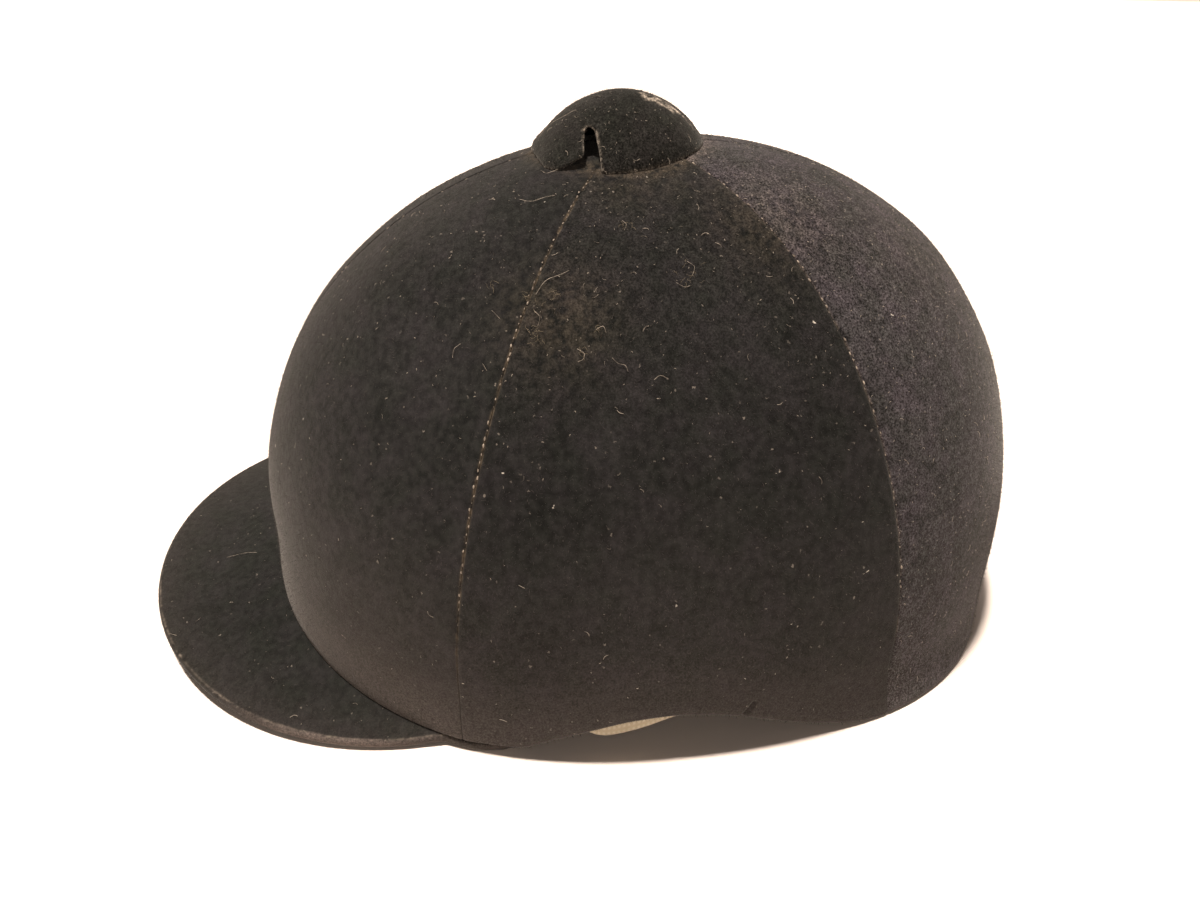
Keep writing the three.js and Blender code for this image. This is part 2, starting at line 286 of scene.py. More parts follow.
def foot_radius(section, height):
    """Radius of a section below its widest height."""
    below = (section.widest - height) / section.widest
    return section.radius * (1 + section.foot * below**2)


def wall_radius(angle, height, inset=0.0):
    """Radius of the crown at each angle and height."""
    section = crown_section(angle, inset)
    up = np.clip((height - section.widest) / (section.top - section.widest), 0, 1)
    dome = section.radius * (1 - up**section.shoulder) ** (1 / section.shoulder)
    return np.where(height < section.widest, foot_radius(section, height), dome)


def crown_height(x, y):
    """Height of the crown's outer surface above a point of the plan."""
    section = crown_section(np.degrees(np.arctan2(x, CROWN_AXIS_Y - y)))
    out = np.hypot(x, y - CROWN_AXIS_Y) / section.radius
    rise = (1 - out**section.shoulder) ** (1 / section.shoulder)
    return section.widest + (section.top - section.widest) * rise


def peak_top(x, outwards):
    """Height of the peak's top: arched across, and falling from its root to its tip."""
    arch = np.clip(1 - (x / PEAK_ARCH_HALF_WIDTH) ** 2, 0, None)
    return PEAK_SIDE_TOP + (lerp(PEAK_ROOT_TOP, PEAK_TIP_TOP, outwards) - PEAK_SIDE_TOP) * arch


def rim_height(angle):
    """Height of the crown's lower edge. Over the peak it follows the board's top."""
    x = wall_radius(angle, PEAK_SIDE_TOP) * np.sin(np.radians(angle))
    return np.where(
        np.abs(angle) > RIM[0][0], along_table(RIM, angle), peak_top(x, 0) + RIM_GAP
    )


def meridians(angle, inset, lift):
    """Rows of wall points at each angle, from a lift above the rim to the hole at the top. The
    lift is one number or one for each angle."""
    section = Section(*[np.asarray(part)[..., None] for part in crown_section(angle, inset)])
    lowest = (rim_height(angle) + lift)[:, None]
    foot = lerp(lowest, section.widest, np.linspace(0, 1, FOOT_ROWS, endpoint=False))
    power = 2 / section.shoulder
    last_turn = np.arccos((TOP_HOLE_RADIUS / section.radius) ** (1 / power))
    turn = last_turn * np.linspace(0, 1, DOME_ROWS + 1)
    dome = section.widest + (section.top - section.widest) * np.sin(turn) ** power
    radius = np.hstack([foot_radius(section, foot), section.radius * np.cos(turn) ** power])
    return around(CROWN_AXIS_Y, radius, np.asarray(angle)[:, None], np.hstack([foot, dome]))


def grid_normals(points):
    """Unit normals of a grid of points, with columns first."""
    normal = np.cross(np.gradient(points, axis=0), np.gradient(points, axis=1))
    return normal / np.linalg.norm(normal, axis=2, keepdims=True)


def waviness(points, size, height):
    """A slow rise and fall over points, of one size and height in millimetres."""
    flat = points.reshape(-1, 3) / size
    wave = np.array([noise.noise(Vector(place)) for place in flat])
    return (wave * height).reshape(points.shape[:-1])


class Loft(NamedTuple):
    """Loops of points with values for each point. The velvet is 1 outside and 0 on the lining."""

    points: np.ndarray
    velvet: np.ndarray
    wear: np.ndarray
    dust: np.ndarray
    grain: np.ndarray


def loft_faces(columns, size):
    """Quads that join loops of one size, and close the first and last loop."""
    faces = []
    for i in range(columns - 1):
        for k in range(size):
            after = (k + 1) % size
            a, b = i * size, (i + 1) * size
            faces.append((a + k, b + k, b + after, a + after))
    end = (columns - 1) * size
    for k in range(size // 2 - 1):
        faces.append((k, k + 1, size - 2 - k, size - 1 - k))
        faces.append((end + size - 1 - k, end + size - 2 - k, end + k + 1, end + k))
    return faces


def add_object(name, data):
    """A new object at the origin of the scene."""
    made = bpy.data.objects.new(name, data)
    bpy.context.scene.collection.objects.link(made)
    return made


def shown_mesh(piece):
    """A plain mesh of what a piece's modifiers show."""
    shown = piece.evaluated_get(bpy.context.evaluated_depsgraph_get())
    return bpy.data.meshes.new_from_object(shown)


def new_piece(name, points, faces, materials):
    """A mesh object at the origin from points in millimetres, with its faces outwards."""
    mesh = bpy.data.meshes.new(name)
    mesh.from_pydata((np.reshape(points, (-1, 3)) * MM).tolist(), [], faces)
    shape = bmesh.new()
    shape.from_mesh(mesh)
    if shape.calc_volume(signed=True) < 0:
        bmesh.ops.reverse_faces(shape, faces=shape.faces)
    shape.to_mesh(mesh)
    shape.free()
    mesh.polygons.foreach_set("use_smooth", [True] * len(mesh.polygons))
    for material in materials:
        mesh.materials.append(material)
    return add_object(name, mesh)


def set_values(mesh, **values):
    """Stores one number for each point of a mesh under each name."""
    for name, numbers in values.items():
        attribute = mesh.attributes.new(name, "FLOAT", "POINT")
        attribute.data.foreach_set("value", np.ravel(numbers).astype(np.float32))


def line_faces_with(piece, is_lining):
    """Gives the second material to each face whose points are all of the lining."""
    for face in piece.data.polygons:
        face.material_index = int(all(is_lining[i] for i in face.vertices))


def finish_piece(piece, slot, *nodes):
    """Makes a piece ride on the hat and hides the solids it stands for. Its slot is not used."""
    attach(piece, "root")
    if nodes:
        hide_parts(*nodes)


# Colours and nodes.


def linear(hex_colour):
    """An sRGB hex colour as linear red, green, blue and alpha."""
    parts = [int(hex_colour[i : i + 2], 16) / 255 for i in (1, 3, 5)]
    return (*[c / 12.92 if c <= 0.04045 else ((c + 0.055) / 1.055) ** 2.4 for c in parts], 1.0)


def socket(sockets, key):
    """A socket by its place, identifier or name."""
    if isinstance(key, int):
        return sockets[key]
    return next((s for s in sockets if s.identifier == key), None) or sockets[key]


def add_node(tree, kind, inputs=None, **settings):
    """Adds a node with its settings. An input is a value, or an output to link from."""
    node = tree.nodes.new(kind)
    for name, value in settings.items():
        setattr(node, name, value)
    for key, value in (inputs or {}).items():
        into = socket(node.inputs, key)
        if isinstance(value, bpy.types.NodeSocket):
            tree.links.new(value, into)
        else:
            into.default_value = value
    return node


def pattern_scale(size):
    """Scale at which a texture's pattern has a size in millimetres."""
    return 1 / (size * MM)


def new_material(name):
    """A material whose node tree is still empty."""
    material = bpy.data.materials.new(name)
    material.use_nodes = True
    material.node_tree.nodes.clear()
    return material


def end_material(material, **sockets):
    """Adds the surface shader with its sockets filled, and its output."""
    tree = material.node_tree
    inputs = {key.replace("_", " "): value for key, value in sockets.items()}
    shader = add_node(tree, "ShaderNodeBsdfPrincipled", inputs)
    add_node(tree, "ShaderNodeOutputMaterial", {"Surface": shader.outputs[0]})
    return material


# The velvet's pattern as sizes in millimetres, with detail and roughness: clouds where the pile
# leans, patches, tufts and pile ends.
PILE_PATTERN = ((30.3, 3, 0.5), (9.09, 4, 0.5), (2.083, 3, 0.5), (0.5556, 3, 0.75))
# How much of the lit colour shows everywhere, and the most that clouds, patches and tufts add.
LIT_EVERYWHERE = 0.13
LIT_BY_PATTERN = (0.16, 0.16, 0.42)
# The dye turns from patch to patch between a green and a plum black.
DYE_COLOURS = ("#c8ccbe", "#d8c6d0")
# How much lighter or darker the pile's tips are than the rest, where they lie deep or stand up:
# painted shade in the deep pile and painted glints on the standing tips.
TIP_PAINTED_SHADE_AND_GLINT = (-1.05, 2.3)
# Faint and bright specks, as the size of their cells in millimetres, the largest radius in
# cells, the share of cells that stay empty and the colour.
SPECKS = ((2.326, 0.16, 0.4, "#6d6862"), (5.882, 0.065, 0.6, "#bcb7ae"))
# Noise of this size bends the specks out of round by up to this length.
SPECK_BEND_SIZE = 0.6667
SPECK_BEND = 1.2 * MM


def pile_velvet(name, colours):
    """Cotton velvet with a short dense pile: dull and deep, clouded where the pile leans and
    grainy with painted glints where its tips catch light, with specks of lint and a pale bloom
    where it is rubbed and where light is painted on low down."""
    deep, lit, rubbed, dusty = [linear(colour) for colour in colours]
    material = new_material(name)
    tree = material.node_tree
    place = add_node(tree, "ShaderNodeTexCoord").outputs["Object"]
    clouds, patches, tufts, ends = [
        add_node(tree, "ShaderNodeTexNoise", {
            "Vector": place, "Scale": pattern_scale(size), "Detail": detail,
            "Roughness": roughness})
        for size, detail, roughness in PILE_PATTERN
    ]
    share = LIT_EVERYWHERE
    for texture, most in zip((clouds, patches, tufts), LIT_BY_PATTERN):
        part = add_node(tree, "ShaderNodeMapRange", {
            "Value": texture.outputs[0], "From Min": 0.35, "From Max": 0.65, "To Max": most})
        share = add_node(tree, "ShaderNodeMath", {0: share, 1: part.outputs[0]},
                         operation="ADD").outputs[0]
    pile = add_node(tree, "ShaderNodeMix", {
        "Factor_Float": share, "A_Color": deep, "B_Color": lit}, data_type="RGBA")
    dye_share = add_node(tree, "ShaderNodeMapRange", {
        "Value": patches.outputs[0], "From Min": 0.35, "From Max": 0.65})
    dyed = add_node(tree, "ShaderNodeMix", {
        "Factor_Float": dye_share.outputs[0], "A_Color": linear(DYE_COLOURS[0]),
        "B_Color": linear(DYE_COLOURS[1])}, data_type="RGBA")
    pile = add_node(tree, "ShaderNodeMix", {
        "Factor_Float": 0.4, "A_Color": pile.outputs[2], "B_Color": dyed.outputs[2]},
        data_type="RGBA", blend_type="SOFT_LIGHT")
    colour = pile.outputs[2]
    # Wear and dust break up over tufts and pile ends. The rubbed colour also stands for painted
    # light on the lower velvet and on the peak.
    for kind, texture, low, high, over in (
        ("wear", ends, 0.2, 0.7, rubbed), ("dust", tufts, 0.35, 0.62, dusty),
    ):
        amount = add_node(tree, "ShaderNodeAttribute", attribute_name=kind)
        broken = add_node(tree, "ShaderNodeMapRange", {
            "Value": texture.outputs[0], "From Min": low, "From Max": high})
        shown = add_node(tree, "ShaderNodeMath", {
            0: amount.outputs["Fac"], 1: broken.outputs[0]}, operation="MULTIPLY")
        colour = add_node(tree, "ShaderNodeMix", {
            "Factor_Float": shown.outputs[0], "A_Color": colour, "B_Color": over},
            data_type="RGBA").outputs[2]
    # Painted glints and shade: the pile's tips catch light out of every colour.
    grain = add_node(tree, "ShaderNodeAttribute", attribute_name="grain")
    tips = add_node(tree, "ShaderNodeMapRange", {
        "Value": ends.outputs[0], "From Min": 0.4, "From Max": 0.72,
        "To Min": TIP_PAINTED_SHADE_AND_GLINT[0], "To Max": TIP_PAINTED_SHADE_AND_GLINT[1]})
    shade = add_node(tree, "ShaderNodeMath", {
        0: grain.outputs["Fac"], 1: tips.outputs[0], 2: 1.0}, operation="MULTIPLY_ADD")
    colour = add_node(tree, "ShaderNodeVectorMath", {
        0: colour, "Scale": shade.outputs[0]}, operation="SCALE").outputs[0]
    bend = add_node(tree, "ShaderNodeTexNoise", {
        "Vector": place, "Scale": pattern_scale(SPECK_BEND_SIZE), "Detail": 1})
    bent = add_node(tree, "ShaderNodeVectorMath", {
        0: bend.outputs[1], 1: [SPECK_BEND] * 3, 2: place}, operation="MULTIPLY_ADD")
    for cell, radius, empty, speck in SPECKS:
        spot = add_node(tree, "ShaderNodeTexVoronoi", {
            "Vector": bent.outputs[0], "Scale": pattern_scale(cell)})
        part = add_node(tree, "ShaderNodeSeparateColor", {"Color": spot.outputs["Color"]})
        reach = add_node(tree, "ShaderNodeMath", {0: part.outputs[1], 1: radius},
                         operation="MULTIPLY")
        inside = add_node(tree, "ShaderNodeMath", {
            0: spot.outputs["Distance"], 1: reach.outputs[0]}, operation="LESS_THAN")
        rare = add_node(tree, "ShaderNodeMath", {0: part.outputs[0], 1: empty},
                        operation="GREATER_THAN")
        both = add_node(tree, "ShaderNodeMath", {0: inside.outputs[0], 1: rare.outputs[0]},
                        operation="MULTIPLY")
        faded = add_node(tree, "ShaderNodeMath", {0: both.outputs[0], 1: part.outputs[2]},
                         operation="MULTIPLY")
        colour = add_node(tree, "ShaderNodeMix", {
            "Factor_Float": faded.outputs[0], "A_Color": colour, "B_Color": linear(speck)},
            data_type="RGBA").outputs[2]
    tuft_bump = add_node(tree, "ShaderNodeBump", {
        "Height": tufts.outputs[0], "Strength": 0.4, "Distance": 0.4 * MM})
    bump = add_node(tree, "ShaderNodeBump", {
        "Height": ends.outputs[0], "Strength": 0.6, "Distance": 0.25 * MM,
        "Normal": tuft_bump.outputs[0]})
    return end_material(
        material, Base_Color=colour, Roughness=0.95, Specular_IOR_Level=0.05,
        Sheen_Weight=0.38, Sheen_Roughness=0.4, Sheen_Tint=linear("#9c9b98"),
        Normal=bump.outputs[0],
    )


def brushed_backing():
    """Dark brushed cotton backing inside the shell and under the peak: flat and dull."""
    made = bpy.data.materials.get("cotton_backing")
    if made:
        return made
    material = new_material("cotton_backing")
    tree = material.node_tree
    place = add_node(tree, "ShaderNodeTexCoord").outputs["Object"]
    # Its short fibres clump about 1.2 mm apart.
    nap = add_node(tree, "ShaderNodeTexNoise", {
        "Vector": place, "Scale": pattern_scale(1.205), "Detail": 3})
    colour = add_node(tree, "ShaderNodeMix", {
        "Factor_Float": nap.outputs[0], "A_Color": linear("#101011"),
        "B_Color": linear("#2a2829")}, data_type="RGBA")
    bump = add_node(tree, "ShaderNodeBump", {
        "Height": nap.outputs[0], "Strength": 0.4, "Distance": 0.2 * MM})
    return end_material(
        material, Base_Color=colour.outputs[2], Roughness=0.9, Specular_IOR_Level=0.2,
        Normal=bump.outputs[0],
    )


# Spacing of the webbing's ribs along the strap and of the picks across it. A wave texture
# repeats once in this share of its unit.
RIB_SPACING = 1.974
PICK_SPACING = 1.382
WAVE_REPEAT = 2 * np.pi / 20


def cotton_webbing():
    """Cream cotton webbing: round ribs in a plain weave, soft and slightly soiled."""
    material = new_material("cream_cotton_webbing")
    tree = material.node_tree
    place = add_node(tree, "ShaderNodeUVMap", uv_map="run").outputs[0]
    rib, pick = [
        add_node(tree, "ShaderNodeTexWave", {
            "Vector": place, "Scale": WAVE_REPEAT * pattern_scale(spacing)}, bands_direction=way)
        for spacing, way in ((RIB_SPACING, "Y"), (PICK_SPACING, "X"))
    ]
    both = add_node(tree, "ShaderNodeMath", {
        0: rib.outputs[1], 1: pick.outputs[1]}, operation="MULTIPLY")
    # Soiled patches are about 7 mm across.
    soil = add_node(tree, "ShaderNodeTexNoise", {
        "Vector": place, "Scale": pattern_scale(6.667), "Detail": 4})
    thread = add_node(tree, "ShaderNodeMix", {
        "Factor_Float": both.outputs[0], "A_Color": linear("#998f7a"),
        "B_Color": linear("#aba28f")}, data_type="RGBA")
    soiled = add_node(tree, "ShaderNodeMapRange", {
        "Value": soil.outputs[0], "From Min": 0.5, "From Max": 0.8, "To Max": 0.4})
    colour = add_node(tree, "ShaderNodeMix", {
        "Factor_Float": soiled.outputs[0], "A_Color": thread.outputs[2],
        "B_Color": linear("#75684e")}, data_type="RGBA")
    bump = add_node(tree, "ShaderNodeBump", {
        "Height": both.outputs[0], "Strength": 0.3, "Distance": 0.15 * MM})
    return end_material(
        material, Base_Color=colour.outputs[2], Roughness=0.85, Specular_IOR_Level=0.3,
        Sheen_Weight=0.2, Normal=bump.outputs[0],
    )


def spun_thread(name, dark, pale):
    """Spun thread, lint or pile ends: matt fibres, uneven along their length."""
    material = new_material(name)
    tree = material.node_tree
    place = add_node(tree, "ShaderNodeTexCoord").outputs["Object"]
    # The twist changes about every 2 mm.
    twist = add_node(tree, "ShaderNodeTexNoise", {
        "Vector": place, "Scale": pattern_scale(2.222), "Detail": 2})
    uneven = add_node(tree, "ShaderNodeMapRange", {
        "Value": twist.outputs[0], "From Min": 0.35, "From Max": 0.65})
    colour = add_node(tree, "ShaderNodeMix", {
        "Factor_Float": uneven.outputs[0], "A_Color": linear(dark), "B_Color": linear(pale)},
        data_type="RGBA")
    return end_material(material, Base_Color=colour.outputs[2], Roughness=0.8)


# Geometry node trees.


def new_tree(name, *values):
    """A geometry tree with a geometry input and output and an input for each named value, which
    is a whole number for the seed."""
    tree = bpy.data.node_groups.new(name, "GeometryNodeTree")
    tree.interface.new_socket("Geometry", in_out="INPUT", socket_type="NodeSocketGeometry")
    tree.interface.new_socket("Geometry", in_out="OUTPUT", socket_type="NodeSocketGeometry")
    for value in values:
        kind = "NodeSocketInt" if value == "Seed" else "NodeSocketFloat"
        tree.interface.new_socket(value, in_out="INPUT", socket_type=kind)
    return tree, add_node(tree, "NodeGroupInput")


def end_tree(tree, geometry, material):
    """Ends a geometry tree with real geometry in one material."""
    real = add_node(tree, "GeometryNodeRealizeInstances", {0: geometry})
    dressed = add_node(tree, "GeometryNodeSetMaterial", {
        "Geometry": real.outputs[0], "Material": material})
    add_node(tree, "NodeGroupOutput", {0: dressed.outputs[0]})


def grown(name, base, tree, **values):
    """A plain mesh object made by a geometry tree over a base object."""
    modifier = base.modifiers.new(name, "NODES")
    modifier.node_group = tree
    for item in tree.interface.items_tree:
        if item.in_out == "INPUT" and item.name in values:
            modifier[item.identifier] = values[item.name]
    mesh = shown_mesh(base)
    base.modifiers.remove(modifier)
    if not mesh.polygons:
        raise RuntimeError(f"{name}: its geometry tree made no faces")
    mesh.name = name
    return add_object(name, mesh)


# How far a stitch strays from its place, how far it turns in radians, and its least and most size.
STITCH_STRAY = 0.3 * MM
STITCH_TURN = (0.3, 0.1, 0.3)
STITCH_SIZES = (0.35, 1.25)
# The way a pile end leans from the velvet's normal, at least and at most, and its sizes.
PILE_LEAN = ((-0.8, -0.8, -1.1), (0.8, 0.8, 0.5))
PILE_SIZES = (0.5, 1.5)
# A stray fibre's curl from start to end in its own length, its turns in radians and its sizes.
LINT_CURL = ((-0.5, 0, 0.02), (0.05, 0.42, 0.16), (0.5, 0.1, 0.05))
LINT_TURN = ((-0.2, -0.2, 0), (0.2, 0.2, 6.28))
LINT_SIZES = (0.3, 1.5)


def stitch_tree(material):
    """Small rounds of thread at even steps along seam lines."""
    tree, given = new_tree("seam_stitches", "Spacing", "Length", "Thickness", "Seed")
    outward = add_node(tree, "GeometryNodeInputNamedAttribute", {"Name": "outward"},
                       data_type="FLOAT_VECTOR").outputs[0]
    line = add_node(tree, "GeometryNodeMeshToCurve", {"Mesh": given.outputs["Geometry"]})
    steps = add_node(tree, "GeometryNodeResampleCurve", {
        "Curve": line.outputs[0], "Length": given.outputs["Spacing"]}, mode="LENGTH")
    shift = add_node(tree, "FunctionNodeRandomValue", {
        0: [-STITCH_STRAY] * 3, 1: [STITCH_STRAY] * 3, "Seed": given.outputs["Seed"]},
        data_type="FLOAT_VECTOR")
    shifted = add_node(tree, "GeometryNodeSetPosition", {
        "Geometry": steps.outputs[0], "Offset": shift.outputs[0]})
    tangent = add_node(tree, "GeometryNodeInputTangent").outputs[0]
    along = add_node(tree, "FunctionNodeAlignRotationToVector", {"Vector": tangent}, axis="X")
    upright = add_node(tree, "FunctionNodeAlignRotationToVector", {
        "Rotation": along.outputs[0], "Vector": outward}, axis="Z", pivot_axis="X")
    wobble = add_node(tree, "FunctionNodeRandomValue", {
        0: [-turn for turn in STITCH_TURN], 1: STITCH_TURN, "Seed": given.outputs["Seed"]},
        data_type="FLOAT_VECTOR")
    turned = add_node(tree, "FunctionNodeRotateRotation", {
        0: upright.outputs[0], 1: wobble.outputs[0]}, rotation_space="LOCAL")
    bead = add_node(tree, "GeometryNodeMeshUVSphere", {"Segments": 8, "Rings": 5, "Radius": 0.5})
    size = add_node(tree, "ShaderNodeCombineXYZ", {
        0: given.outputs["Length"], 1: given.outputs["Thickness"],
        2: given.outputs["Thickness"]})
    random = add_node(tree, "FunctionNodeRandomValue", {
        "Min_001": STITCH_SIZES[0], "Max_001": STITCH_SIZES[1],
        "Seed": given.outputs["Seed"]})
    scale = add_node(tree, "ShaderNodeVectorMath", {
        0: size.outputs[0], "Scale": random.outputs[1]}, operation="SCALE")
    placed = add_node(tree, "GeometryNodeInstanceOnPoints", {
        "Points": shifted.outputs[0], "Instance": bead.outputs[0],
        "Rotation": turned.outputs[0], "Scale": scale.outputs[0]})
    end_tree(tree, placed.outputs[0], material)
    return tree


def scattered(tree, given, attribute):
    """Points scattered over the velvet, denser where one of its attributes is higher."""
    share = add_node(tree, "GeometryNodeInputNamedAttribute", {"Name": attribute},
                     data_type="FLOAT")
    density = add_node(tree, "ShaderNodeMath", {
        0: given.outputs["Density"], 1: share.outputs[0]}, operation="MULTIPLY")
    return add_node(tree, "GeometryNodeDistributePointsOnFaces", {
        "Mesh": given.outputs["Geometry"], "Density": density.outputs[0],
        "Seed": given.outputs["Seed"]})


def stood(tree, given, points, shape, turn, sizes):
    """Copies of one shape on points, each with a turn and a random size."""
    size = add_node(tree, "FunctionNodeRandomValue", {
        "Min_001": sizes[0], "Max_001": sizes[1], "Seed": given.outputs["Seed"]})
    return add_node(tree, "GeometryNodeInstanceOnPoints", {
        "Points": points.outputs[0], "Instance": shape.outputs[0],
        "Rotation": turn.outputs[0], "Scale": size.outputs[1]}).outputs[0]


def pile_tree(material):
    """Short upright pile ends scattered over the outside of the velvet."""
    tree, given = new_tree("standing_pile", "Density", "Length", "Thickness", "Seed")
    points = scattered(tree, given, "pile")
    tip = add_node(tree, "FunctionNodeRandomValue", {
        0: PILE_LEAN[0], 1: PILE_LEAN[1], "Seed": given.outputs["Seed"]},
        data_type="FLOAT_VECTOR")
    lean = add_node(tree, "ShaderNodeVectorMath", {
        0: points.outputs["Normal"], 1: tip.outputs[0]}, operation="ADD")
    turn = add_node(tree, "FunctionNodeAlignRotationToVector", {"Vector": lean.outputs[0]})
    spike = add_node(tree, "GeometryNodeMeshCone", {
        "Vertices": 3, "Radius Bottom": given.outputs["Thickness"],
        "Depth": given.outputs["Length"]})
    end_tree(tree, stood(tree, given, points, spike, turn, PILE_SIZES), material)
    return tree


def lint_tree(material):
    """Short curled fibres scattered over the outside of the velvet, most where its grain and
    painted glints are strongest.
    """
    tree, given = new_tree("stray_lint", "Density", "Length", "Thickness", "Seed")
    points = scattered(tree, given, "grain")
    start, middle, end = LINT_CURL
    arc = add_node(tree, "GeometryNodeCurveQuadraticBezier", {
        "Resolution": 4, "Start": start, "Middle": middle, "End": end})
    ring = add_node(tree, "GeometryNodeCurvePrimitiveCircle", {
        "Resolution": 3, "Radius": given.outputs["Thickness"]})
    long = add_node(tree, "GeometryNodeTransform", {
        "Geometry": arc.outputs[0], "Scale": given.outputs["Length"]})
    fibre = add_node(tree, "GeometryNodeCurveToMesh", {
        "Curve": long.outputs[0], "Profile Curve": ring.outputs[0], "Fill Caps": True})
    spin = add_node(tree, "FunctionNodeRandomValue", {
        0: LINT_TURN[0], 1: LINT_TURN[1], "Seed": given.outputs["Seed"]},
        data_type="FLOAT_VECTOR")
    turned = add_node(tree, "FunctionNodeRotateRotation", {
        0: points.outputs["Rotation"], 1: spin.outputs[0]}, rotation_space="LOCAL")
    end_tree(tree, stood(tree, given, points, fibre, turned, LINT_SIZES), material)
    return tree


def hair_tree(material):
    """A thin round hair along each line of a mesh."""
    tree, given = new_tree("laid_hairs", "Thickness")
    line = add_node(tree, "GeometryNodeMeshToCurve", {"Mesh": given.outputs["Geometry"]})
    smooth = add_node(tree, "GeometryNodeCurveSplineType", {
        "Curve": line.outputs[0]}, spline_type="CATMULL_ROM")
    steps = add_node(tree, "GeometryNodeResampleCurve", {"Curve": smooth.outputs[0], "Count": 14})
    ring = add_node(tree, "GeometryNodeCurvePrimitiveCircle", {
        "Resolution": 5, "Radius": given.outputs["Thickness"]})
    hair = add_node(tree, "GeometryNodeCurveToMesh", {
        "Curve": steps.outputs[0], "Profile Curve": ring.outputs[0], "Fill Caps": True})
    end_tree(tree, hair.outputs[0], material)
    return tree


# The pieces.

# Spots where dust clings, as angle, height, radius and strength.
DUST = [
    (75, 138, 12, 0.15), (128, 132, 18, 0.25), (150, 122, 22, 0.15), (100, 137, 8, 0.1),
    (65, 113, 14, 0.22),
]
# How much painted light pales the lower velvet, standing in for light from low down and sheen, by
# angle, and how far up that reaches.
PAINTED_LOW_LIGHT = [(0, 0.8), (45, 0.8), (62, 0.55), (90, 0.35), (115, 0.4), (135, 0.2), (180, 0.2)]
PAINTED_LOW_LIGHT_HEIGHT = 75.0
PAINTED_LOW_LIGHT_BAND_HEIGHT = 28.0
PAINTED_LOW_LIGHT_BAND_SHARE = 0.55
# How grainy the velvet looks low down and high up, by gore, and on the peak and the cap. The grain
# carries painted glints and shade, which grow higher up where the overhead light falls.
GRAIN_AND_GLINT = {"front": (0.04, 0.28), "side": (0.08, 0.5), "back": (0.62, 0.75)}
PEAK_GRAIN_AND_GLINT = 0.07
CAP_GRAIN_AND_GLINT = 0.65
PAINTED_GLINT_HEIGHTS = (70.0, 130.0)
# Height above the table below which no point of the velvet grows pile or lint.
PILE_FROM = 2.0
# How much dust clings along each seam, by its angle.
SEAM_DUST = {0.0: 0.5, SEAM_SIDE_FRONT: 1.2, SEAM_SIDE_BACK: 0.7, 180.0: 0.5}
# The crease in the rim, from its foot to its head, as angle and height.
CREASE = ((97.8, 11.5), (99.6, 17.5))
CREASE_WIDTH = 0.6
# The valley along a seam: its width, how shallow it is low down, and from where to where it
# reaches its full depth.
SEAM_WIDTH = 0.6
SEAM_SHALLOW = 0.4
SEAM_HEIGHTS = (30.0, 65.0)
SEAM_DUST_WIDTH = 0.34
# How far from a seam or the rim the velvet's slow waves have their full height.
WAVE_FROM = 12.0
# Dust round the cap's foot: its strength, its reach and how far below the cap it still lies.
CAP_DUST = 0.5
CAP_DUST_REACH = 3.5
CAP_DUST_DROP = 12.0
# Angles of a gore's columns beside a seam, where its even columns start and how many they are.
SEAM_COLUMNS = (0.05, 0.15, 0.27, 0.42, 0.62, 0.9, 1.4, 2.1, 3.1)
EVEN_FROM = 4.2
EVEN_COLUMNS = 56


def crown_points(angle, height):
    """Points of the crown's outside at angles and heights."""
    return around(CROWN_AXIS_Y, wall_radius(angle, height), angle, height)


def dust_on(points):
    dust = np.zeros(points.shape[:-1])
    for angle, height, radius, strength in DUST:
        middle = crown_points(np.array(float(angle)), np.array(float(height)))
        away = np.linalg.norm(points - middle, axis=-1) / radius
        dust = np.maximum(dust, strength * np.exp(-(away**2)))
    from_cap = np.hypot(points[..., 0], points[..., 1] - CAP_AXIS_Y) - CAP_RADIUS
    by_cap = CAP_DUST * np.exp(-((from_cap / CAP_DUST_REACH) ** 2))
    return np.maximum(dust, by_cap * (points[..., 2] > CAP_BASE - CAP_DUST_DROP))


def distance_to_line(points, line):
    """Distance from each point to a line of points."""
    nearest = np.full(points.shape[:-1], np.inf)
    for start, end in zip(line[:-1], line[1:]):
        run = end - start
        share = np.clip(((points - start) @ run) / (run @ run), 0, 1)
        away = np.linalg.norm(points - (start + share[..., None] * run), axis=-1)
        nearest = np.minimum(nearest, away)
    return nearest


def gore_columns(start, end):
    """Angles across a gore, close together beside its seams and by the crease."""
    close = np.array(SEAM_COLUMNS)
    inside = np.linspace(start + EVEN_FROM, end - EVEN_FROM, EVEN_COLUMNS)
    columns = [start + close, inside, end - close]
    if start < CREASE[0][0] < end:
        columns.append(np.linspace(CREASE[0][0] - 2, CREASE[1][0] + 2, 22))
    return np.unique(np.round(np.concatenate(columns), 3))


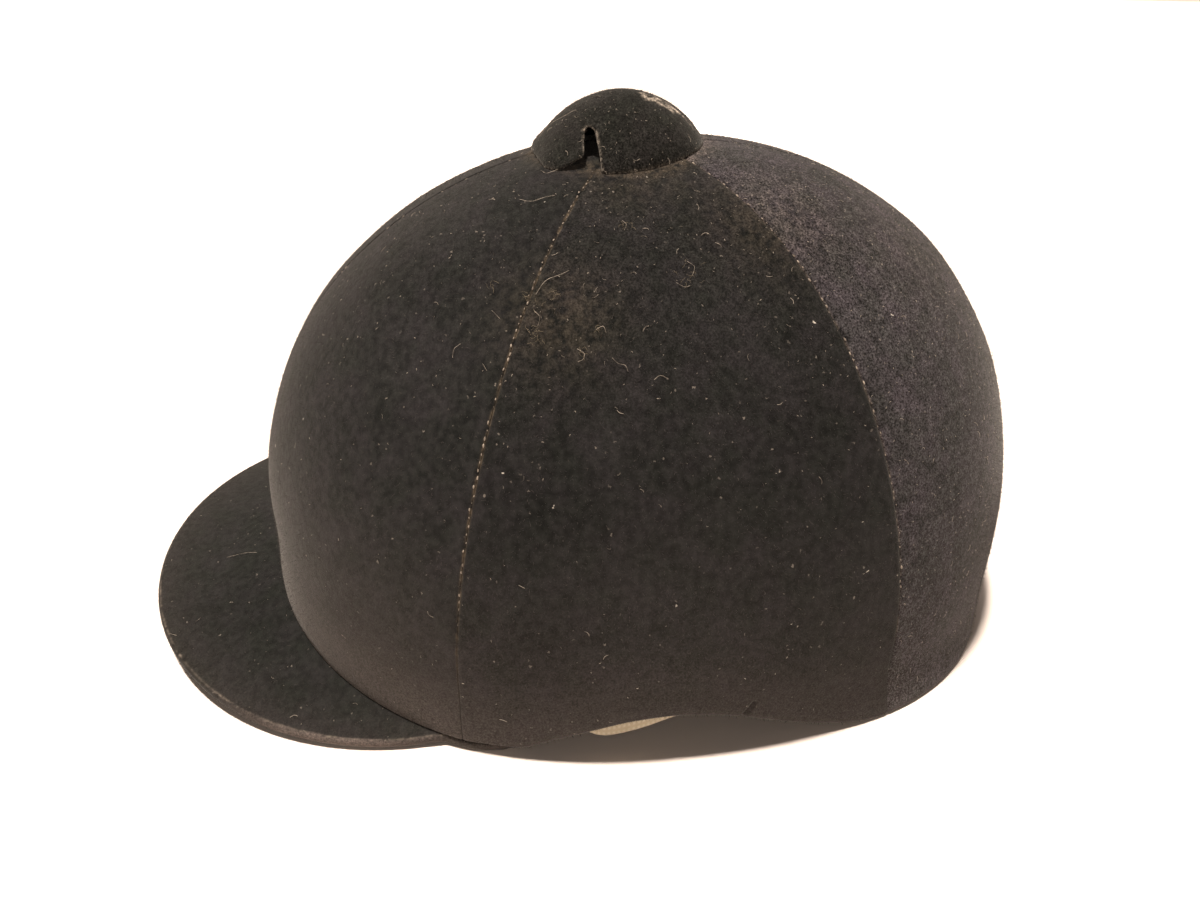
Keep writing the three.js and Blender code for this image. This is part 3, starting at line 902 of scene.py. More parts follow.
def gore_loft(start, end, settings, grain_range):
    """The closed loops of one gore: velvet outside, a rolled rim and the shell inside. Where the
    rim stands on the peak, its pile hides the roll."""
    angle = gore_columns(start, end)
    half = CROWN_WALL / 2
    roll = lerp(RIM_GAP, half, smooth_step(SEAM_SIDE_FRONT, PEAK_TAIL_TOP, np.abs(angle)))
    outer = meridians(angle, 0, roll)
    inner = meridians(angle, CROWN_WALL, half)
    radius = np.linalg.norm(outer[..., :2] - (0, CROWN_AXIS_Y), axis=2)
    from_seam = np.radians(np.minimum(angle - start, end - angle))[:, None] * radius
    rim = rim_height(angle)[:, None]
    above = outer[..., 2] - rim
    valley = settings.seam_depth / MM * np.exp(-((from_seam / SEAM_WIDTH) ** 2))
    valley = valley * lerp(SEAM_SHALLOW, 1, smooth_step(*SEAM_HEIGHTS, above))
    stand = settings.pile_stand / MM * smooth_step(0, 4, above)
    crease = distance_to_line(outer, crown_points(*np.array(CREASE).T))
    pleat = settings.crease_depth / MM * np.exp(-((crease / CREASE_WIDTH) ** 2))
    inwards = smooth_step(0, WAVE_FROM, above) * smooth_step(0, WAVE_FROM, from_seam)
    wave = waviness(outer, 30, 0.5) * inwards
    moved = (stand + wave - valley - pleat)[..., None]
    outside = outer + grid_normals(outer) * moved
    turn = np.radians(90 * (1 - (np.arange(EDGE_STEPS) + 0.5) / EDGE_STEPS))[:, None]
    middle = (outside[:, :1] + inner[:, :1]) / 2
    middle[..., 2] = rim + half
    lowest = middle - (0, 0, half)
    outer_edge = middle + (outside[:, :1] - middle) * np.cos(turn)
    outer_edge[..., 2] = lerp(lowest[..., 2], outside[:, :1, 2], 1 - np.sin(turn.T))
    inner_edge = middle + (inner[:, :1] - middle) * np.cos(turn)
    inner_edge[..., 2] = lerp(lowest[..., 2], inner[:, :1, 2], 1 - np.sin(turn.T))
    points = np.concatenate([outer_edge, outside, inner[:, ::-1], inner_edge[:, ::-1]], axis=1)
    size = points.shape[1]
    is_out = (np.arange(size) < size // 2)[None] * np.ones((len(angle), 1))
    height = points[..., 2] - rim
    seam = np.pad(from_seam, ((0, 0), (EDGE_STEPS, 0)), "edge")
    seam = np.concatenate([seam, seam[:, ::-1]], axis=1)
    # Painted light from low down pales the lower velvet; it is stored with the rim's wear.
    high, low = [smooth_step(top, 0, height) for top in (PAINTED_LOW_LIGHT_HEIGHT, PAINTED_LOW_LIGHT_BAND_HEIGHT)]
    painted_low_light = lerp(high, low, PAINTED_LOW_LIGHT_BAND_SHARE)
    # A pale line along the rim's edge, partly wear and partly a painted highlight on the velvet's
    # fold.
    rim_wear = np.clip(0.55 + waviness(points, 1.3, 1.0), 0, 1) * np.exp(-((height / 0.9) ** 2))
    wear = np.maximum(along_table(PAINTED_LOW_LIGHT, angle)[:, None] * painted_low_light, rim_wear)
    nearest = np.where(angle - start < end - angle, SEAM_DUST[abs(start)], SEAM_DUST[abs(end)])
    along = nearest[:, None] * smooth_step(8, 45, height)
    along = along * np.clip(0.85 + waviness(points, 1.5, 0.9), 0.4, 1)
    along = along * np.exp(-((seam / SEAM_DUST_WIDTH) ** 2))
    dust = np.maximum(dust_on(points), np.clip(along, 0, 1))
    grain = lerp(*grain_range, smooth_step(*PAINTED_GLINT_HEIGHTS, points[..., 2]))
    return Loft(points, is_out, wear * is_out, dust * is_out, grain * is_out)


def build_gore(name, node, start, end, settings, grain_range, velvet, backing):
    loft = gore_loft(start, end, settings, grain_range)
    columns, size = loft.points.shape[:2]
    piece = new_piece(name, loft.points, loft_faces(columns, size), [velvet, backing])
    clear = loft.points[..., 2] > PILE_FROM
    set_values(piece.data, wear=loft.wear, dust=loft.dust, grain=loft.grain * clear,
               pile=loft.velvet * clear)
    line_faces_with(piece, np.ravel(loft.velvet) == 0)
    piece.data.set_sharp_from_angle(angle=np.radians(55))
    finish_piece(piece, "crown_velvet", node)
    return piece


def peak_radius(angle):
    """Distance from the crown's axis to the peak's outline. It is never inside the wall."""
    turn = np.radians(angle)
    near = wall_radius(angle, rim_height(angle))
    far = np.full_like(near, PEAK_REACH + CROWN_FRONT_LENGTH)

    def outside(radius):
        x = np.abs(radius * np.sin(turn)) / PEAK_HALF_WIDTH
        y = PEAK_CENTRE_Y - (CROWN_AXIS_Y - radius * np.cos(turn))
        return x**PEAK_OUTLINE + (np.clip(y, 0, None) / PEAK_REACH) ** PEAK_OUTLINE > 1

    far = np.where(outside(near), near, far)
    for _ in range(24):
        middle = (near + far) / 2
        beyond = outside(middle)
        near, far = np.where(beyond, near, middle), np.where(beyond, middle, far)
    return near


def peak_level(angle, drop, shares, fold):
    """Rows of points across the board at each angle, at a drop below its top."""
    angle = angle[:, None]
    turn = np.radians(angle)
    rim = rim_height(angle)
    wall = wall_radius(angle, rim)
    root = wall_radius(angle, rim, CROWN_WALL)
    edge = peak_radius(angle)
    radius = lerp(root, edge - fold, shares)
    outwards = np.clip((radius - wall) / np.maximum(edge - wall, CROWN_WALL), 0, None)
    x = np.where(radius < wall, wall, radius) * np.sin(turn)
    return around(CROWN_AXIS_Y, radius, angle, peak_top(x, outwards) - drop)


def build_peak(settings, velvet, backing):
    top_angle = np.concatenate([np.linspace(*stretch) for stretch in PEAK_COLUMNS])
    top_angle = np.concatenate([-top_angle[:0:-1], top_angle])
    over = np.clip(np.abs(top_angle) - PEAK_TAIL_FROM, 0, None)
    share = (PEAK_TAIL_FOOT - PEAK_TAIL_FROM) / (PEAK_TAIL_TOP - PEAK_TAIL_FROM)
    foot_angle = np.sign(top_angle) * (np.abs(top_angle) - over * (1 - share))
    fold = PEAK_BOARD / 2
    # Rows lie closer together towards the outline.
    shares = 1 - (1 - np.linspace(0, 1, PEAK_ROWS)) ** 1.5
    top = peak_level(top_angle, 0, shares, fold)
    foot = peak_level(foot_angle, PEAK_BOARD, shares, fold)
    step = np.diff(top[:, -1], axis=0, prepend=top[:1, -1])
    run = np.cumsum(np.linalg.norm(step, axis=1))
    ticks = waviness(np.stack([run, run * 0, run * 0], axis=1), 1.3, 1.0)[:, None, None]
    out = around(0, 1.0, top_angle, 0)[:, None]
    out[..., 2] = 0
    turn = np.radians(90 * (np.arange(EDGE_STEPS * 2) + 0.5) / EDGE_STEPS)[:, None]
    middle = (top[:, -1:] + foot[:, -1:]) / 2
    reach = fold + settings.edge_fullness / MM + ticks * settings.edge_ticks / MM
    upright = np.sign(np.cos(turn)) * np.abs(np.cos(turn)) ** EDGE_SQUARENESS
    rise = (top[:, -1:] - middle) * upright
    rolled = middle + rise + out * reach * np.sin(turn) ** EDGE_SQUARENESS
    points = np.concatenate([foot, rolled[:, ::-1], top[:, ::-1]], axis=1)
    tucked = PEAK_TAIL_TUCK * smooth_step(59, PEAK_TAIL_TOP, np.abs(top_angle))[:, None]
    from_axis = np.linalg.norm(points[..., :2] - (0, CROWN_AXIS_Y), axis=2)
    inmost = from_axis.min(axis=1, keepdims=True)
    outmost = from_axis.max(axis=1, keepdims=True)
    pull = tucked * (from_axis - inmost) / (outmost - inmost)
    points[..., :2] -= out[..., :2] * pull[..., None]
    columns, size = points.shape[:2]
    away = outmost - from_axis
    row = np.arange(size)[None] * np.ones((columns, 1))
    is_foot = row < len(shares) - 3
    frayed = away + waviness(points, 1.2, 0.6)
    # The edge is paler most at the sides of the peak, less at its tip and little by its tails,
    # partly from wear and partly as painted light from the table below. The top also pales
    # slightly towards its outline, a painted light.
    at = np.abs(top_angle)[:, None]
    edge_wear_and_light = lerp(0.1, 0.85, smooth_step(28, 42, at)) * (1 - 0.6 * smooth_step(46, 58, at))
    wear = np.maximum(edge_wear_and_light * (1 - smooth_step(0.2, 1.4, frayed)), 0.12 * np.exp(-away / 10))
    wear = wear * (1 - is_foot)
    lip = np.exp(-(((away - 0.8) / 0.3) ** 2)) * (row > size / 2)
    dust = lip * np.clip(0.25 + 0.9 * ticks[..., 0], 0, 1)
    piece = new_piece("velvet_peak", points, loft_faces(columns, size), [velvet, backing])
    is_out = 1.0 - is_foot
    stands = is_out * (points[..., 2] > PILE_FROM)
    set_values(piece.data, wear=wear, dust=dust, grain=PEAK_GRAIN_AND_GLINT * stands, pile=stands)
    line_faces_with(piece, np.ravel(is_foot))
    piece.data.set_sharp_from_angle(angle=np.radians(60))
    finish_piece(piece, "peak_velvet", "peak")
    return piece


def cap_loops(inset, columns, rows):
    """Rings of points of the cap's dome at an inset, from its foot to just below its top."""
    angle = np.linspace(-180, 180, columns, endpoint=False)[None]
    spread = along_table(CAP_FLARE, angle)
    foot_point = around(CAP_AXIS_Y, CAP_RADIUS + spread - inset, angle, 0.0)
    foot = crown_height(foot_point[..., 0], foot_point[..., 1]) + RIM_GAP
    top = CAP_BASE + CAP_RISE - inset
    turn = (np.pi / 2 * np.arange(rows) / rows)[:, None]
    power = lerp(CAP_FRONT_DOME, CAP_BACK_DOME, smooth_step(70, 150, np.abs(angle)))
    height = lerp(foot, top, np.sin(turn) ** (2 / power))
    up = np.clip(height - CAP_BASE, 0, None) / (CAP_RISE - inset)
    dome = (CAP_RADIUS - inset) * (1 - up**power) ** (1 / power)
    flare = spread * (1 - smooth_step(0, CAP_FLARE_HEIGHT, height - foot))
    return around(CAP_AXIS_Y, dome + flare, angle, height)


def cap_shell():
    columns = CAP_COLUMNS
    outer = cap_loops(0, columns, CAP_ROWS)
    inner = cap_loops(CAP_WALL, columns, CAP_ROWS)
    rings = np.concatenate([outer[::-1], inner])
    points = rings.reshape(-1, 3).tolist()
    top = len(points)
    points += [(0, CAP_AXIS_Y, CAP_BASE + CAP_RISE - inset) for inset in (0, CAP_WALL)]
    faces = []
    last = (len(rings) - 1) * columns
    for i in range(columns):
        after = (i + 1) % columns
        faces.append((top, i, after))
        faces.append((top + 1, last + after, last + i))
        for ring in range(len(rings) - 1):
            a, b = ring * columns, (ring + 1) * columns
            faces.append((a + i, b + i, b + after, a + after))
    return new_piece("velvet_vent_cap", points, faces, [])


def vent_prism(side):
    """One vent as a prism that reaches out through the cap's side."""
    near = [(side * VENT_INNER_X, y, z) for y, z in VENT]
    far = [(side * VENT_OUTER_X, y, z) for y, z in VENT]
    count = len(VENT)
    faces = [tuple(range(count)), tuple(range(2 * count - 1, count - 1, -1))]
    faces += [(i, i + count, (i + 1) % count + count, (i + 1) % count) for i in range(count)]
    return new_piece("vent_prism", near + far, faces, [])


def apply_modifiers(piece):
    """Turns what the modifiers show into the piece's own mesh."""
    mesh = shown_mesh(piece)
    piece.modifiers.clear()
    piece.data = mesh


def mesh_points(mesh):
    """Points of a mesh in millimetres."""
    points = np.empty(len(mesh.vertices) * 3)
    mesh.vertices.foreach_get("co", points)
    return points.reshape(-1, 3) / MM


def picture_ray(across, down):
    """Direction in which the camera sees a point of the photograph's picture."""
    right = (across - PICTURE[0] / 2) / CAMERA_FOCUS
    up = (PICTURE[1] / 2 - down) / CAMERA_FOCUS
    return (CAMERA_AHEAD + CAMERA_RIGHT * right + CAMERA_UP * up).normalized()


def seen_on(tree, line):
    """Where the camera sees each picture point of a line on a surface, in millimetres, with the
    way out of the surface. A ray that just misses is moved to the nearest place."""
    places = []
    for across, down in line:
        ray = picture_ray(across, down)
        place, normal, _, _ = tree.ray_cast(CAMERA_PLACE * MM, ray)
        if place is None:
            steps = [(CAMERA_PLACE * MM) + ray * (step * MM) for step in range(150, 450, 2)]
            place, normal, _, _ = min((tree.find_nearest(step) for step in steps),
                                      key=lambda near: near[3])
        places.append((np.array(place) / MM, np.array(normal)))
    return places


# The rubbed patches on the cap, each as picture points with a size in millimetres.
CAP_RUBBED = [
    ([(648, 97), (659, 101), (671, 108)], 3.0), ([(684, 118), (692, 128)], 0.9),
    ([(584.5, 130), (584.5, 132)], 0.6),
]


def build_cap(settings, velvet):
    piece = cap_shell()
    cutters = [vent_prism(side) for side in (1, -1)]
    for cutter in cutters:
        cut = piece.modifiers.new("vent", "BOOLEAN")
        cut.object, cut.operation, cut.solver = cutter, "DIFFERENCE", "EXACT"
    remesh = piece.modifiers.new("even", "REMESH")
    remesh.mode, remesh.voxel_size, remesh.use_smooth_shade = "VOXEL", settings.cap_voxel, True
    soft = piece.modifiers.new("soft", "SMOOTH")
    soft.factor, soft.iterations = 0.5, settings.cap_softness
    apply_modifiers(piece)
    for cutter in cutters:
        bpy.data.objects.remove(cutter)
    mesh = piece.data
    points = mesh_points(mesh)
    normals = np.empty(len(mesh.vertices) * 3)
    mesh.vertices.foreach_get("normal", normals)
    normals = normals.reshape(-1, 3)
    tree = BVHTree.FromObject(piece, bpy.context.evaluated_depsgraph_get())
    outline = [np.array((y, z)) for y, z in VENT]
    flat = points[:, 1:]
    to_vent = distance_to_line(flat, outline + outline[:1])
    to_vent = np.where(np.abs(points[:, 0]) > VENT_INNER_X, to_vent, np.inf)
    wave = waviness(points, 12, 0.15)
    moved = points + normals * (wave + settings.cap_stand / MM)[:, None]
    mesh.vertices.foreach_set("co", (moved * MM).ravel())
    foot = points[:, 2] - crown_height(points[:, 0], points[:, 1])
    under_lobe = smooth_step(-11, -9.5, points[:, 1]) * smooth_step(-2.2, -3, points[:, 1])
    edge_wear = np.clip(0.5 + waviness(points, 1.1, 1.2), 0, 1) * (1 - 0.8 * under_lobe)
    wear = np.maximum(0.8 * edge_wear * np.exp(-((to_vent / 0.3) ** 2)),
                      0.3 * np.exp(-((foot / 0.8) ** 2)))
    rubbed = np.zeros(len(points))
    fray = waviness(points, 1.5, 1.6)
    for line, size in CAP_RUBBED:
        middle = np.array([place for place, _ in seen_on(tree, line)])
        away = (distance_to_line(points, middle) + fray * size / 3) / size
        rubbed = np.maximum(rubbed, 0.95 * (1 - smooth_step(0.6, 1.2, away)))
    all_over = np.ones(len(points))
    set_values(mesh, wear=wear, dust=rubbed, grain=CAP_GRAIN_AND_GLINT * all_over, pile=all_over)
    mesh.materials.clear()
    mesh.materials.append(velvet)
    finish_piece(piece, "cap_velvet", "vent_cap")
    return piece


def build_strap(webbing):
    start = STRAP_EDGE[0][0]
    angle = np.linspace(start, 360 - start, STRAP_COLUMNS)
    from_front = np.where(angle > 180, 360 - angle, angle)
    lower = along_table(STRAP_EDGE, from_front)
    signed = np.where(angle > 180, angle - 360, angle)
    # One corner of the section, then all four, as height up the strap and depth from the wall.
    turn = np.radians((0, 30, 60, 90))
    rise = STRAP_CORNER * (1 - np.cos(turn))
    dip = STRAP_CORNER * (1 - np.sin(turn))
    flat = np.linspace(STRAP_FLAT_FROM, STRAP_WIDTH - STRAP_FLAT_FROM, STRAP_FLAT_ROWS)
    ups = np.concatenate([rise, flat, STRAP_WIDTH - rise[::-1]])
    deep = np.concatenate([dip, np.zeros(STRAP_FLAT_ROWS), dip[::-1]])
    up = np.concatenate([ups, ups[::-1]])
    depth = np.concatenate([deep, STRAP_THICKNESS - deep[::-1]])
    height = lower[:, None] + up
    face = wall_radius(signed[:, None], height, CROWN_WALL) - STRAP_WALL_GAP
    points = around(CROWN_AXIS_Y, face - depth, angle[:, None], height)
    columns, size = points.shape[:2]
    piece = new_piece("webbing_chin_strap", points, loft_faces(columns, size), [webbing])
    step = np.linalg.norm(np.diff(points[:, 0], axis=0, prepend=points[:1, 0]), axis=1)
    run = np.broadcast_to(np.cumsum(step)[:, None], (columns, size)).ravel()
    # The weave of the inner face starts clear of the weave towards the wall.
    across = up + np.where(np.arange(size) < size // 2, 0, STRAP_INNER_START)
    across = np.broadcast_to(across, (columns, size)).ravel()
    layer = piece.data.uv_layers.new(name="run")
    corner = np.empty(len(piece.data.loops), int)
    piece.data.loops.foreach_get("vertex_index", corner)
    layer.data.foreach_set("uv", (np.stack([run[corner], across[corner]], axis=1) * MM).ravel())
    piece.data.set_sharp_from_angle(angle=np.radians(60))
    finish_piece(piece, "strap_webbing", "chin_strap")
    return piece


# The seams whose stitches show: an angle, how far to one side and how high they lie, and the
# height below which the pile hides them.
STITCH_LINES = [
    (SEAM_SIDE_FRONT, -0.1, 0.0, 42), (-SEAM_SIDE_FRONT, 0.1, 0.0, 42),
    (SEAM_SIDE_BACK, 0.1, -0.16, 20), (-SEAM_SIDE_BACK, -0.1, -0.16, 20),
    (0.0, 0.1, -0.18, 42), (180.0, -0.1, -0.18, 20),
]
# How far the stitches keep from the rim and the cap, how deep the lowest ones sink and over
# what height they come out.
STITCH_FROM_RIM = 4.0
STITCH_FROM_CAP = 2.5
STITCH_SINK = 0.35
STITCH_FADE = 25.0


def seam_lines():
    """A mesh of lines beside the seams, each point with the way out of the velvet."""
    points, edges, outward = [], [], []
    for seam, aside, lift, lowest in STITCH_LINES:
        line = meridians(np.array([seam]), 0, STITCH_FROM_RIM)[0]
        out = np.linalg.norm(line[:, :2] - (0, CAP_AXIS_Y), axis=1)
        line = line[(out > CAP_RADIUS + STITCH_FROM_CAP) & (line[:, 2] > lowest)]
        radius = np.hypot(line[:, 0], line[:, 1] - CROWN_AXIS_Y)
        moved = seam + np.degrees(aside / radius)
        line = around(CROWN_AXIS_Y, radius, moved, line[:, 2])
        up = np.gradient(line, axis=0)
        side = around(0, 1.0, seam + 90, 0.0)
        normal = np.cross(side, up)
        normal /= np.linalg.norm(normal, axis=1, keepdims=True)
        sunk = STITCH_SINK * (1 - smooth_step(lowest, lowest + STITCH_FADE, line[:, 2:]))
        line = line + normal * (lift - sunk)
        first = len(points)
        points += list(line)
        outward += list(normal)
        edges += [(first + i, first + i + 1) for i in range(len(line) - 1)]
    mesh = bpy.data.meshes.new("seam_lines")
    mesh.from_pydata((np.array(points) * MM).tolist(), edges, [])
    attribute = mesh.attributes.new("outward", "FLOAT_VECTOR", "POINT")
    attribute.data.foreach_set("vector", np.ravel(outward))
    return add_object("seam_lines", mesh)


def clump_hairs(seed):
    """Short curled lines that fill the clumps, as picture points."""
    random = np.random.default_rng(seed)
    lines = []
    for across, down, radius, count in CLUMPS:
        for _ in range(count):
            place = random.normal((across, down), radius / 2)
            way = random.uniform(0, 2 * np.pi)
            line = [tuple(place)]
            for _ in range(CLUMP_STEPS):
                place = place + CLUMP_STEP * np.array((np.cos(way), np.sin(way)))
                way += random.normal(0, CLUMP_CURL)
                line.append(tuple(place))
            lines.append(line)
    return lines


def hair_lines(tree, drawn):
    """A loose mesh of lines over the velvet, from lines of picture points."""
    points, edges = [], []
    for line in drawn:
        first = len(points)
        for i, (place, normal) in enumerate(seen_on(tree, line)):
            lift = HAIR_END_LIFT if i in (0, len(line) - 1) else HAIR_LIFT
            points.append(place + normal * lift)
        edges += [(first + i, first + i + 1) for i in range(len(line) - 1)]
    mesh = bpy.data.meshes.new("hair_lines")
    mesh.from_pydata((np.array(points) * MM).tolist(), edges, [])
    return add_object("hair_lines", mesh)


# The slots of the standing pile that isn't a gore's.
PILE_SLOTS = {"pile_peak": "peak_velvet", "pile_vent_cap": "cap_velvet"}


def velvet_pieces():
    """The velvet pieces that stand in the scene, by name."""
    found = [o for o in bpy.context.scene.objects if o.name.startswith("velvet_")]
    if not found:
        raise RuntimeError("build the crown, the peak and the vent cap first")
    return found


def joined_velvet():
    """One loose object with every velvet piece's mesh, to scatter over."""
    shape = bmesh.new()
    for piece in velvet_pieces():
        shape.from_mesh(piece.data)
    mesh = bpy.data.meshes.new("velvet_ground")
    shape.to_mesh(mesh)
    shape.free()
    return add_object("ground_of_velvet", mesh)


# Settings, operators and panel.


class CrownSettings(bpy.types.PropertyGroup):
    pile_stand: bpy.props.FloatProperty(
        name="Pile Stand", description="How far the velvet stands out from the shell",
        default=0.25 * MM, min=0, max=1 * MM, unit="LENGTH", precision=5)
    seam_depth: bpy.props.FloatProperty(
        name="Seam Depth", description="Depth of the valley along each seam",
        default=0.4 * MM, min=0, max=2 * MM, unit="LENGTH", precision=5)
    crease_depth: bpy.props.FloatProperty(
        name="Crease Depth", description="Depth of the small crease in the rim",
        default=1.0 * MM, min=0, max=2 * MM, unit="LENGTH", precision=5)
    stitch_spacing: bpy.props.FloatProperty(
        name="Stitch Spacing", description="Distance from one seam stitch to the next",
        default=2.0 * MM, min=1 * MM, max=8 * MM, unit="LENGTH", precision=5)
    stitch_length: bpy.props.FloatProperty(
        name="Stitch Length", description="Length of the thread that shows in a stitch",
        default=0.95 * MM, min=0.2 * MM, max=3 * MM, unit="LENGTH", precision=5)
    stitch_thickness: bpy.props.FloatProperty(
        name="Stitch Thickness", description="Thickness of the seam thread",
        default=0.42 * MM, min=0.1 * MM, max=1 * MM, unit="LENGTH", precision=5)


class PeakSettings(bpy.types.PropertyGroup):
    edge_fullness: bpy.props.FloatProperty(
        name="Edge Fullness", description="How far the velvet stands out round the peak's edge",
        default=0.1 * MM, min=0, max=1.5 * MM, unit="LENGTH", precision=5)
    edge_ticks: bpy.props.FloatProperty(
        name="Edge Gathers", description="Height of the small gathers where velvet turns under",
        default=0.08 * MM, min=0, max=1 * MM, unit="LENGTH", precision=5)


class CapSettings(bpy.types.PropertyGroup):
    cap_voxel: bpy.props.FloatProperty(
        name="Detail", description="Size of the smallest form in the vent cap",
        default=0.45 * MM, min=0.4 * MM, max=2 * MM, unit="LENGTH", precision=5)
    cap_softness: bpy.props.IntProperty(
        name="Softness", description="How often the cap's edges are smoothed", default=3, min=0,
        max=20)
    cap_stand: bpy.props.FloatProperty(
        name="Pile Stand", description="How far the velvet stands out from the cap's shell",
        default=0.15 * MM, min=0, max=1 * MM, unit="LENGTH", precision=5)


class PileSettings(bpy.types.PropertyGroup):
    pile_density: bpy.props.FloatProperty(
        name="Pile Density", description="Standing pile ends in each square metre",
        default=900000, min=0)
    pile_length: bpy.props.FloatProperty(
        name="Pile Length", description="Length of the standing pile ends",
        default=0.7 * MM, min=0.1 * MM, max=2 * MM, unit="LENGTH", precision=5)
    pile_thickness: bpy.props.FloatProperty(
        name="Pile Thickness", description="Half thickness of a pile end at its root",
        default=0.035 * MM, min=0.01 * MM, max=0.2 * MM, unit="LENGTH", precision=6)
    lint_density: bpy.props.FloatProperty(
        name="Lint Density", description="Stray fibres in each square metre of rough velvet",
        default=16000, min=0)
    lint_length: bpy.props.FloatProperty(
        name="Lint Length", description="Usual length of a stray fibre",
        default=1.5 * MM, min=0.2 * MM, max=10 * MM, unit="LENGTH", precision=5)
    hair_thickness: bpy.props.FloatProperty(
        name="Hair Thickness", description="Half thickness of a hair or stray fibre",
        default=0.045 * MM, min=0.01 * MM, max=0.3 * MM, unit="LENGTH", precision=6)
    speck_density: bpy.props.FloatProperty(
        name="Speck Density", description="Bits of lint in each square metre of rough velvet",
        default=130000, min=0)
    speck_length: bpy.props.FloatProperty(
        name="Speck Length", description="Usual length of a short bit of lint",
        default=0.38 * MM, min=0.1 * MM, max=3 * MM, unit="LENGTH", precision=5)
    speck_thickness: bpy.props.FloatProperty(
        name="Speck Thickness", description="Half thickness of a short bit of lint",
        default=0.05 * MM, min=0.01 * MM, max=0.3 * MM, unit="LENGTH", precision=6)
    seed: bpy.props.IntProperty(
        name="Seed", description="Seed of everything that is scattered", default=7)


class StageSettings(bpy.types.PropertyGroup):
    floor_colour: bpy.props.FloatVectorProperty(
        name="Floor Colour", description="Colour of the pale floor", subtype="COLOR", size=4,
        min=0, max=1, default=linear("#f4ece7"))
    key_power: bpy.props.FloatProperty(
        name="Key Light", description="Strength of the distant light overhead", default=6.0,
        min=0)
    back_power: bpy.props.FloatProperty(
        name="Back Light", description="Power of the soft light behind the hat",
        default=5, min=0, unit="POWER")
    fill_power: bpy.props.FloatProperty(
        name="Fill Light", description="Power of the soft light beside the camera",
        default=1.5, min=0, unit="POWER")
    sky_strength: bpy.props.FloatProperty(
        name="Sky Strength", description="Strength of the light from above", default=0.07, min=0)
    wall_strength: bpy.props.FloatProperty(
        name="Wall Strength", description="Strength of the light from low all round",
        default=1.0, min=0)


class HAT_OT_crown(bpy.types.Operator):
    """Builds the crown's six velvet gores"""

    bl_idname = "riding_hat.crown"
    bl_label = "Crown Gores"

    def execute(self, context):
        settings = context.scene.hat_crown
        backing = brushed_backing()
        # Lit and shaded copies of one velvet: the back gores are painted lighter and the side
        # gores a little darker than the front, partly for the way each gore's nap lies and partly
        # as painted light and painted shade.
        velvets = {
            "front": pile_velvet(
                "black_cotton_velvet", ("#0d0e0f", "#2d2e2e", "#635c58", "#5b5144")),
            "side": pile_velvet(
                "deep_black_cotton_velvet", ("#0c0d0d", "#2a2b2b", "#635c59", "#5b5144")),
            "back": pile_velvet(
                "brushed_black_cotton_velvet", ("#121213", "#454447", "#6b6563", "#665d57")),
        }
        for part, (start, end) in GORES.items():
            for side, turn in (("left", 1), ("right", -1)):
                low, high = sorted((start * turn, end * turn))
                build_gore(f"velvet_{part}_{side}", f"crown_{part}_{side}", low, high, settings,
                           GRAIN_AND_GLINT[part], velvets[part], backing)
        return {"FINISHED"}


class HAT_OT_peak(bpy.types.Operator):
    """Builds the peak and its rolled velvet edge"""

    bl_idname = "riding_hat.peak"
    bl_label = "Peak"

    def execute(self, context):
        velvet = pile_velvet("peak_cotton_velvet", ("#0f1010", "#272928", "#7a6f6a", "#8c8277"))
        build_peak(context.scene.hat_peak, velvet, brushed_backing())
        return {"FINISHED"}


class HAT_OT_cap(bpy.types.Operator):
    """Builds the slotted vent cap on top of the crown"""

    bl_idname = "riding_hat.vent_cap"
    bl_label = "Vent Cap"

    def execute(self, context):
        velvet = pile_velvet("cap_cotton_velvet", ("#0a0b0a", "#292a28", "#a69d91", "#a59b8f"))
        build_cap(context.scene.hat_cap, velvet)
        return {"FINISHED"}


class HAT_OT_strap(bpy.types.Operator):
    """Builds the webbing chin strap inside the crown"""

    bl_idname = "riding_hat.chin_strap"
    bl_label = "Chin Strap"

    def execute(self, context):
        build_strap(cotton_webbing())
        return {"FINISHED"}


class HAT_OT_stitches(bpy.types.Operator):
    """Sews the small tan stitches along the crown's seams"""

    bl_idname = "riding_hat.stitches"
    bl_label = "Seam Stitches"

    def execute(self, context):
        settings = context.scene.hat_crown
        thread = spun_thread("tan_polyester_thread", "#645b52", "#aba093")
        lines = seam_lines()
        piece = grown("thread_stitches", lines, stitch_tree(thread), Seed=3,
                      Spacing=settings.stitch_spacing, Length=settings.stitch_length,
                      Thickness=settings.stitch_thickness)
        bpy.data.objects.remove(lines)
        finish_piece(piece, "crown_velvet")
        return {"FINISHED"}


class HAT_OT_lint(bpy.types.Operator):
    """Lays hairs and lint on the velvet"""

    bl_idname = "riding_hat.lint"
    bl_label = "Lint and Hairs"

    def execute(self, context):
        settings = context.scene.hat_pile
        lint = spun_thread("pale_cotton_lint", "#544d45", "#bbb2a5")
        ground = joined_velvet()
        strays = lint_tree(lint)
        fibres = grown("lint_fibres", ground, strays, Density=settings.lint_density,
                       Length=settings.lint_length, Thickness=settings.hair_thickness,
                       Seed=settings.seed)
        specks = grown("lint_specks", ground, strays, Density=settings.speck_density,
                       Length=settings.speck_length, Thickness=settings.speck_thickness,
                       Seed=settings.seed + 1)
        tree = BVHTree.FromObject(ground, context.evaluated_depsgraph_get())
        made = [fibres, specks]
        brown = spun_thread("brown_dust_fibres", "#453d31", "#8d826c")
        for name, drawn, material, share in (
            ("lint_hairs", HAIRS, lint, 1.0),
            ("lint_clumps", clump_hairs(settings.seed), brown, 0.6),
        ):
            lines = hair_lines(tree, drawn)
            made.append(grown(name, lines, hair_tree(material),
                              Thickness=settings.hair_thickness * share))
            bpy.data.objects.remove(lines)
        bpy.data.objects.remove(ground)
        for piece in made:
            finish_piece(piece, "crown_velvet")
        return {"FINISHED"}


